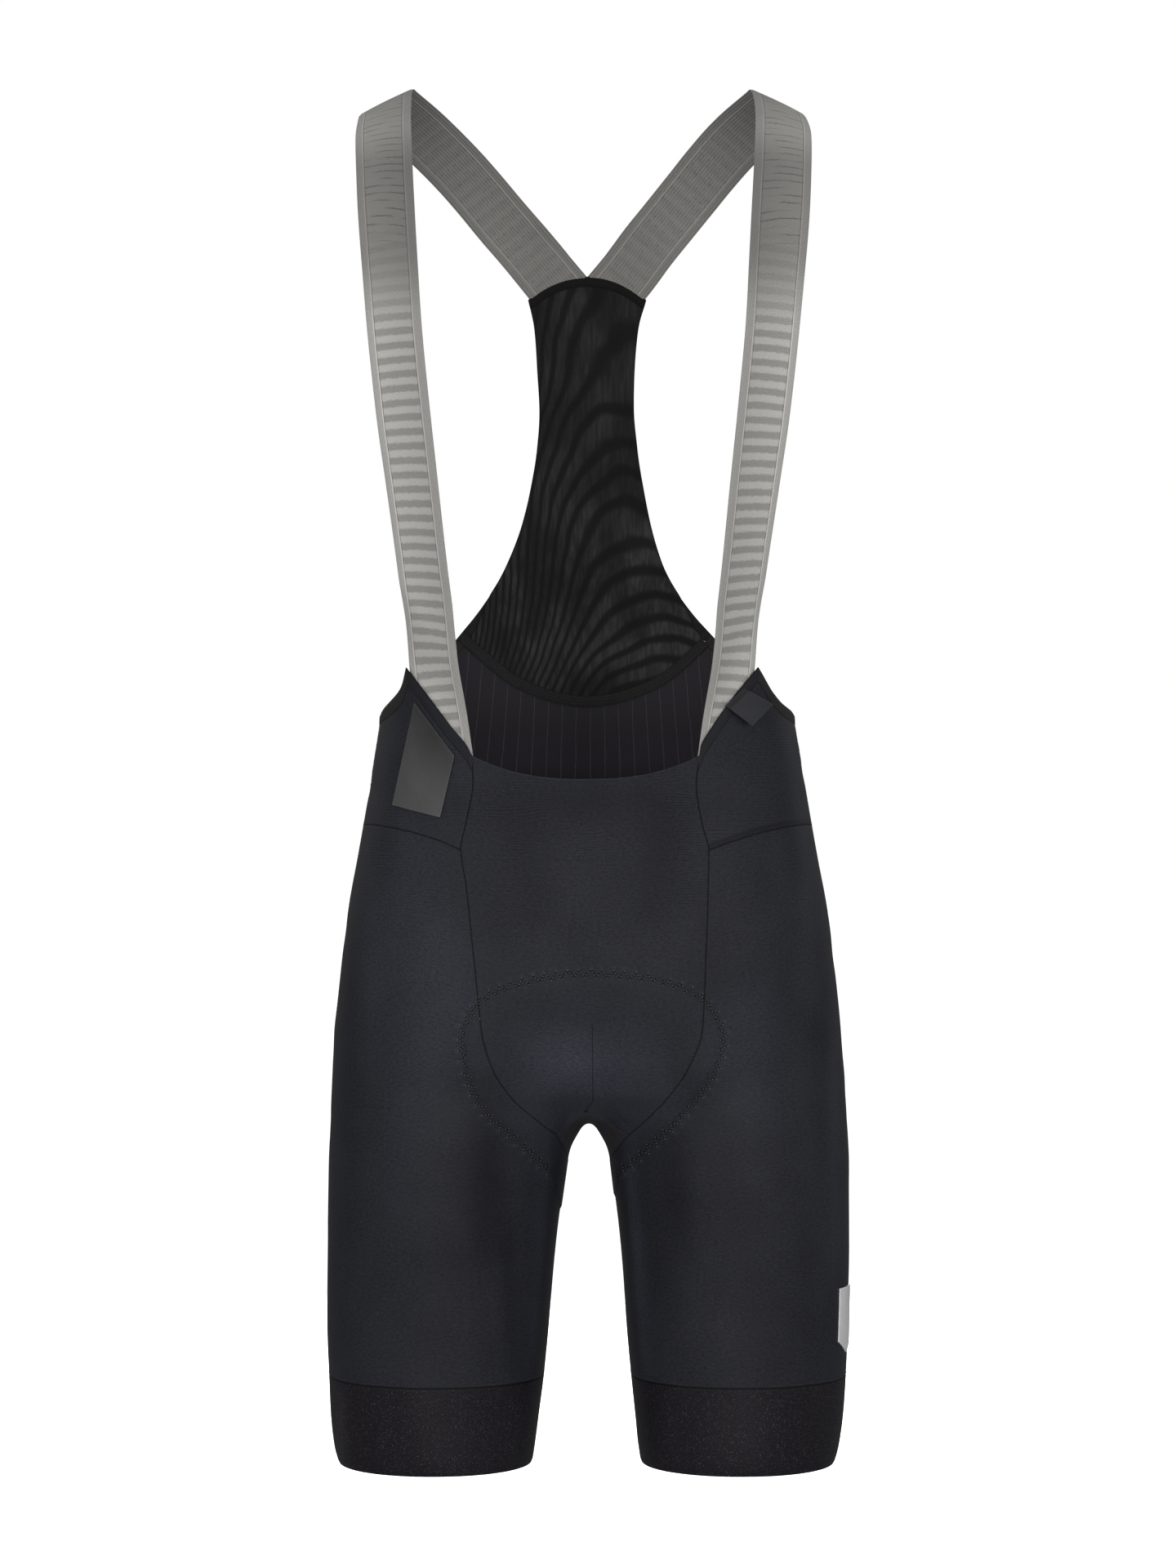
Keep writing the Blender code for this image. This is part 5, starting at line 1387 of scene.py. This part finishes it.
u = np.linspace(0, 1, divisions["label"] + 1)[None]
v = u.T
for name, key in (("label_patch", "patch"), ("folded_tag", "tag")):
    topLeft, topRight, bottomRight, bottomLeft = np.array(labels[key])[:, :, None, None]
    x, z, lift = mix(mix(topLeft, topRight, u), mix(bottomLeft, bottomRight, u), v)
    lift = lift + labels["thickness"]
    if key == "tag":
        lift = lift + labels["tagCurl"] * np.sin(np.pi * u)
    put(name, frontPoint(x, z), key, proud=lift, thickness=labels["thickness"], seamSides=allSides)
bottom = mix(labels["badgeCorner"], labels["badgeTip"], 1 - np.abs(2 * u - 1))
badge = legPoint(1, mix(*labels["badgeTurns"], u), mix(labels["badgeTop"], bottom, v))
put("leg_badge", badge, "badge", proud=1.0, thickness=labels["badgeThickness"], seamSides=allSides)
print("labels made")

# rows of stitches: spacing, then length, width and height of a stitch

gaits = {
    "flatlock": (1.9, 1.1, 0.45, 0.3), "hip": (1.7, 1.1, 0.7, 0.3), "hipTop": (1.7, 0.9, 0.35, 0.3),
    "edge": (2.0, 1.6, 0.45, 0.4), "band": (1.8, 1.0, 0.4, 0.3), "bandThread": (1.3, 1.4, 0.6, 0.3),
    "seam": (1.5, 0.9, 0.7, 0.3),
}
for side, word, lines in bothSides:
    above = offsetEdge(lines["hip"], 1.3, bodyPoint(side, 0.0, seams["waist"]))
    turns = np.linspace(178, -178, divisions["ring"])
    rings = [legPoint(side, turns, seams["band"] + rise) for rise in (1.4, 0.1)]
    flatlock = join(lines["frontUpper"][-4:], lines["frontLower"])
    backSeams = join(lines["backUpper"], lines["backLower"])
    inseam = join(lines["gussetFront"], lines["inseam"])
    for name, path, look, gait, node, lift in (
        ("front_seam_stitches", flatlock, "darkThread", "flatlock", "front_panel", 0.0),
        ("hip_seam_stitches", lines["hip"], "darkThread", "hip", "side_panel_" + word, 0.0),
        ("hip_seam_top_stitches", above, "softThread", "hipTop", "side_panel_" + word, 0.15),
        ("armhole_stitches", lines["bandInner"][2:], "darkThread", "edge", "armhole_band_" + word, 0.1),
        ("binding_stitches", lines["bindingInner"][1:], "darkThread", "edge", "front_binding_" + word, 0.1),
        ("band_seam_stitches", rings[0], "softThread", "band", "leg_panel_" + word, 0.15),
        ("band_seam_thread", rings[1], "darkThread", "bandThread", "leg_panel_" + word, -0.1),
        ("back_seam_stitches", backSeams, "darkThread", "seam", "back_panel", 0.0),
        ("inseam_stitches", inseam, "darkThread", "seam", "leg_panel_" + word, 0.0),
    ):
        sew(name + "_" + word, [path], look, gaits[gait], node, lift=lift)


def zigzag(face):  # three stitches to each slant
    count = padSteps(face)
    line = along(padLines[face], count)
    run = unit(np.gradient(line, axis=0))
    place = (np.arange(count + 1) / 3) % 2
    swing = seatPad["amplitude"] * (2 * np.abs(place - 1) - 1)
    x, z = (line + stack(-run[:, 1], run[:, 0]) * swing[:, None]).T
    return facePoint[face](x, z)


for face, node in (("front", "front_panel"), ("back", "back_panel")):
    needle = [zigzag(face)]
    holes = (1, 0.8, 0.65, 0.55)
    sew("pad_" + face + "_thread", needle, "darkThread", (1.2, 1.3, 0.45, 0.4), node, lift=0.2)
    sew("pad_" + face + "_stitches", needle, "greyThread", holes, node, even=False, lift=0.34)

t = np.linspace(0, 1, 40)
dart = {"t": (0, 0.87, 1), "x": (3.4, 3.9, -1.3), "height": (-625, -677, -685)}
dartLine = frontPoint(*(np.interp(t, dart["t"], dart[way]) for way in ("x", "height")))
sew("dart_thread", [dartLine], "darkThread", (0.9, 1.3, 0.55, 0.4), "front_panel", lift=0.0)
knot = [frontPoint(-2.1 + 2.2 * t[:8] / t[7], -685.2 - k * 0.5 + 1.6 * t[:8]) for k in range(2)]
sew("gusset_knot", knot, "darkThread", (0.8, 1.1, 0.6, 0.6), "front_panel", lift=0.2)
tack = {"along": 0.6, "asides": (-0.5, 0.4), "points": 8, "gait": (1.0, 1.2, 0.5, 0.4)}
for _, word, lines in bothSides:
    top, corner = lines["frontWaist"][0], lines["frontWaist"][-1]
    start, asides = mix(top, corner, tack["along"]), [np.array([d, 0, 0]) for d in tack["asides"]]
    rows = [ontoFigure(np.linspace(start + d, top + d, tack["points"])) for d in asides]
    sew("waist_tack_" + word, rows, "softThread", tack["gait"], "front_binding_" + word, lift=0.4)
inside = []
for k, d in ((0, -1.2), (-1, 1.2)):
    at, facing = onCloth(offsetEdge(tape[k], d, backPoint(0.0, -300.0)), -3.2)
    inside.append((at, -facing))
sew("tape_stitches", inside, "softThread", (1.6, 1.1, 0.5, 0.4), "back_seam_tape")
print("stitches sewn:", sum(len(made) for made in trimmings.values()), "rows")

# each piece rides the root body, and the CAD part of the same name is hidden

for name, piece in pieces.items():
    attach(piece, "root")
    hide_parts(name)
print("pieces declared:", len(pieces))

# studio: a pale floor far below, and soft boxes in front, at both sides, above, below and behind

studio = {
    "floor": 60, "floorHeight": -1.32, "floorColour": (0.86, 0.86, 0.86), "floorGlow": 0.95,
    "backdrop": 1.0,  # what the camera sees behind the shorts
    "surround": 0.22,  # what falls on them from all round
    "lights": (  # name, place, aim, size, power
        ("frontSoftbox", (0.0, -4.0, -0.9), (0, 0, -0.5), (1.8, 2.4), 66),
        ("leftSoftbox", (-2.27, -3.24, 0.1), (0, 0, -0.5), (1.6, 1.6), 42),
        ("rightSoftbox", (2.27, -3.24, 0.1), (0, 0, -0.5), (1.6, 1.6), 40),
        ("leftStrip", (-3.9, -0.8, -0.3), (0, 0, -0.5), (0.7, 2.2), 15),
        ("rightStrip", (3.9, -0.8, -0.3), (0, 0, -0.5), (0.7, 2.2), 25),
        ("backSoftbox", (0.0, 4.0, 0.0), (0, 0, -0.5), (1.4, 2.0), 62),
        ("backLeftSoftbox", (-2.9, 2.75, 0.6), (0, 0, -0.6), (1.2, 1.2), 6),
        ("backRightSoftbox", (2.9, 2.75, 0.6), (0, 0, -0.6), (1.2, 1.2), 6),
        ("lowSoftbox", (0.0, -1.9, -1.24), (0, 0, -0.66), (1.4, 0.5), 5),
        ("topSoftbox", (0.0, -2.4, 2.3), (0, 0, -0.4), (1.6, 1.2), 22),
    ),
    "camera": (0.00055, -2.8, -0.4686), "lens": 95.45, "sensor": 36, "clip": 100,
}
world = bpy.data.worlds.new("studioWhite")
bpy.context.scene.world = world
world.use_nodes = True
sky = world.node_tree
seen = sky.nodes["Background"]
seen.inputs[1].default_value = studio["backdrop"]
seen.inputs[0].default_value = (1, 1, 1, 1)
fill = addNode(sky, "ShaderNodeBackground", None, {0: (1, 1, 1, 1), 1: studio["surround"]})
path = addNode(sky, "ShaderNodeLightPath")
choices = {0: path.outputs["Is Camera Ray"], 1: fill.outputs[0], 2: seen.outputs[0]}
choice = addNode(sky, "ShaderNodeMixShader", None, choices)
sky.links.new(choice.outputs[0], sky.nodes["World Output"].inputs[0])
half = studio["floor"] / 2
mesh = bpy.data.meshes.new("studioFloor")
corners = [(x * half, y * half, studio["floorHeight"]) for x, y in ((-1, -1), (1, -1), (1, 1), (-1, 1))]
mesh.from_pydata(corners, [], [(0, 1, 2, 3)])
floorLook = Look("studioFloor", {"finish": (0.9, 0.1)})
for socket, value in (
    ("Base Color", (*studio["floorColour"], 1)), ("Emission Color", (1, 1, 1, 1)),
    ("Emission Strength", studio["floorGlow"]),
):
    floorLook.shader.inputs[socket].default_value = value
mesh.materials.append(floorLook.material)
floor = stand("studioFloor", mesh)
floor.visible_diffuse = floor.visible_glossy = floor.visible_shadow = False  # it throws no light back up
floor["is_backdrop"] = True
for name, place, aim, size, power in studio["lights"]:
    light = bpy.data.lights.new(name, "AREA")
    light.shape = "RECTANGLE"
    light.size, light.size_y = size
    light.energy = power
    lamp = stand(name, light)
    lamp.visible_camera = False
    lamp.location = place
    lamp.rotation_euler = (Vector(aim) - Vector(place)).to_track_quat("-Z", "Y").to_euler()
camera = bpy.data.cameras.new("camera")
camera.lens, camera.sensor_width, camera.sensor_fit = studio["lens"], studio["sensor"], "AUTO"
camera.clip_end = studio["clip"]
view = stand("camera", camera)
view.location = studio["camera"]
view.rotation_euler = (math.pi / 2, 0, 0)
bpy.context.scene.camera = view
bpy.context.scene.view_settings.view_transform = "Standard"
print("studio ready")

size = {"cad": [list(corner) for corner in cadBox], "visual": [list(corner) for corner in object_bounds()]}
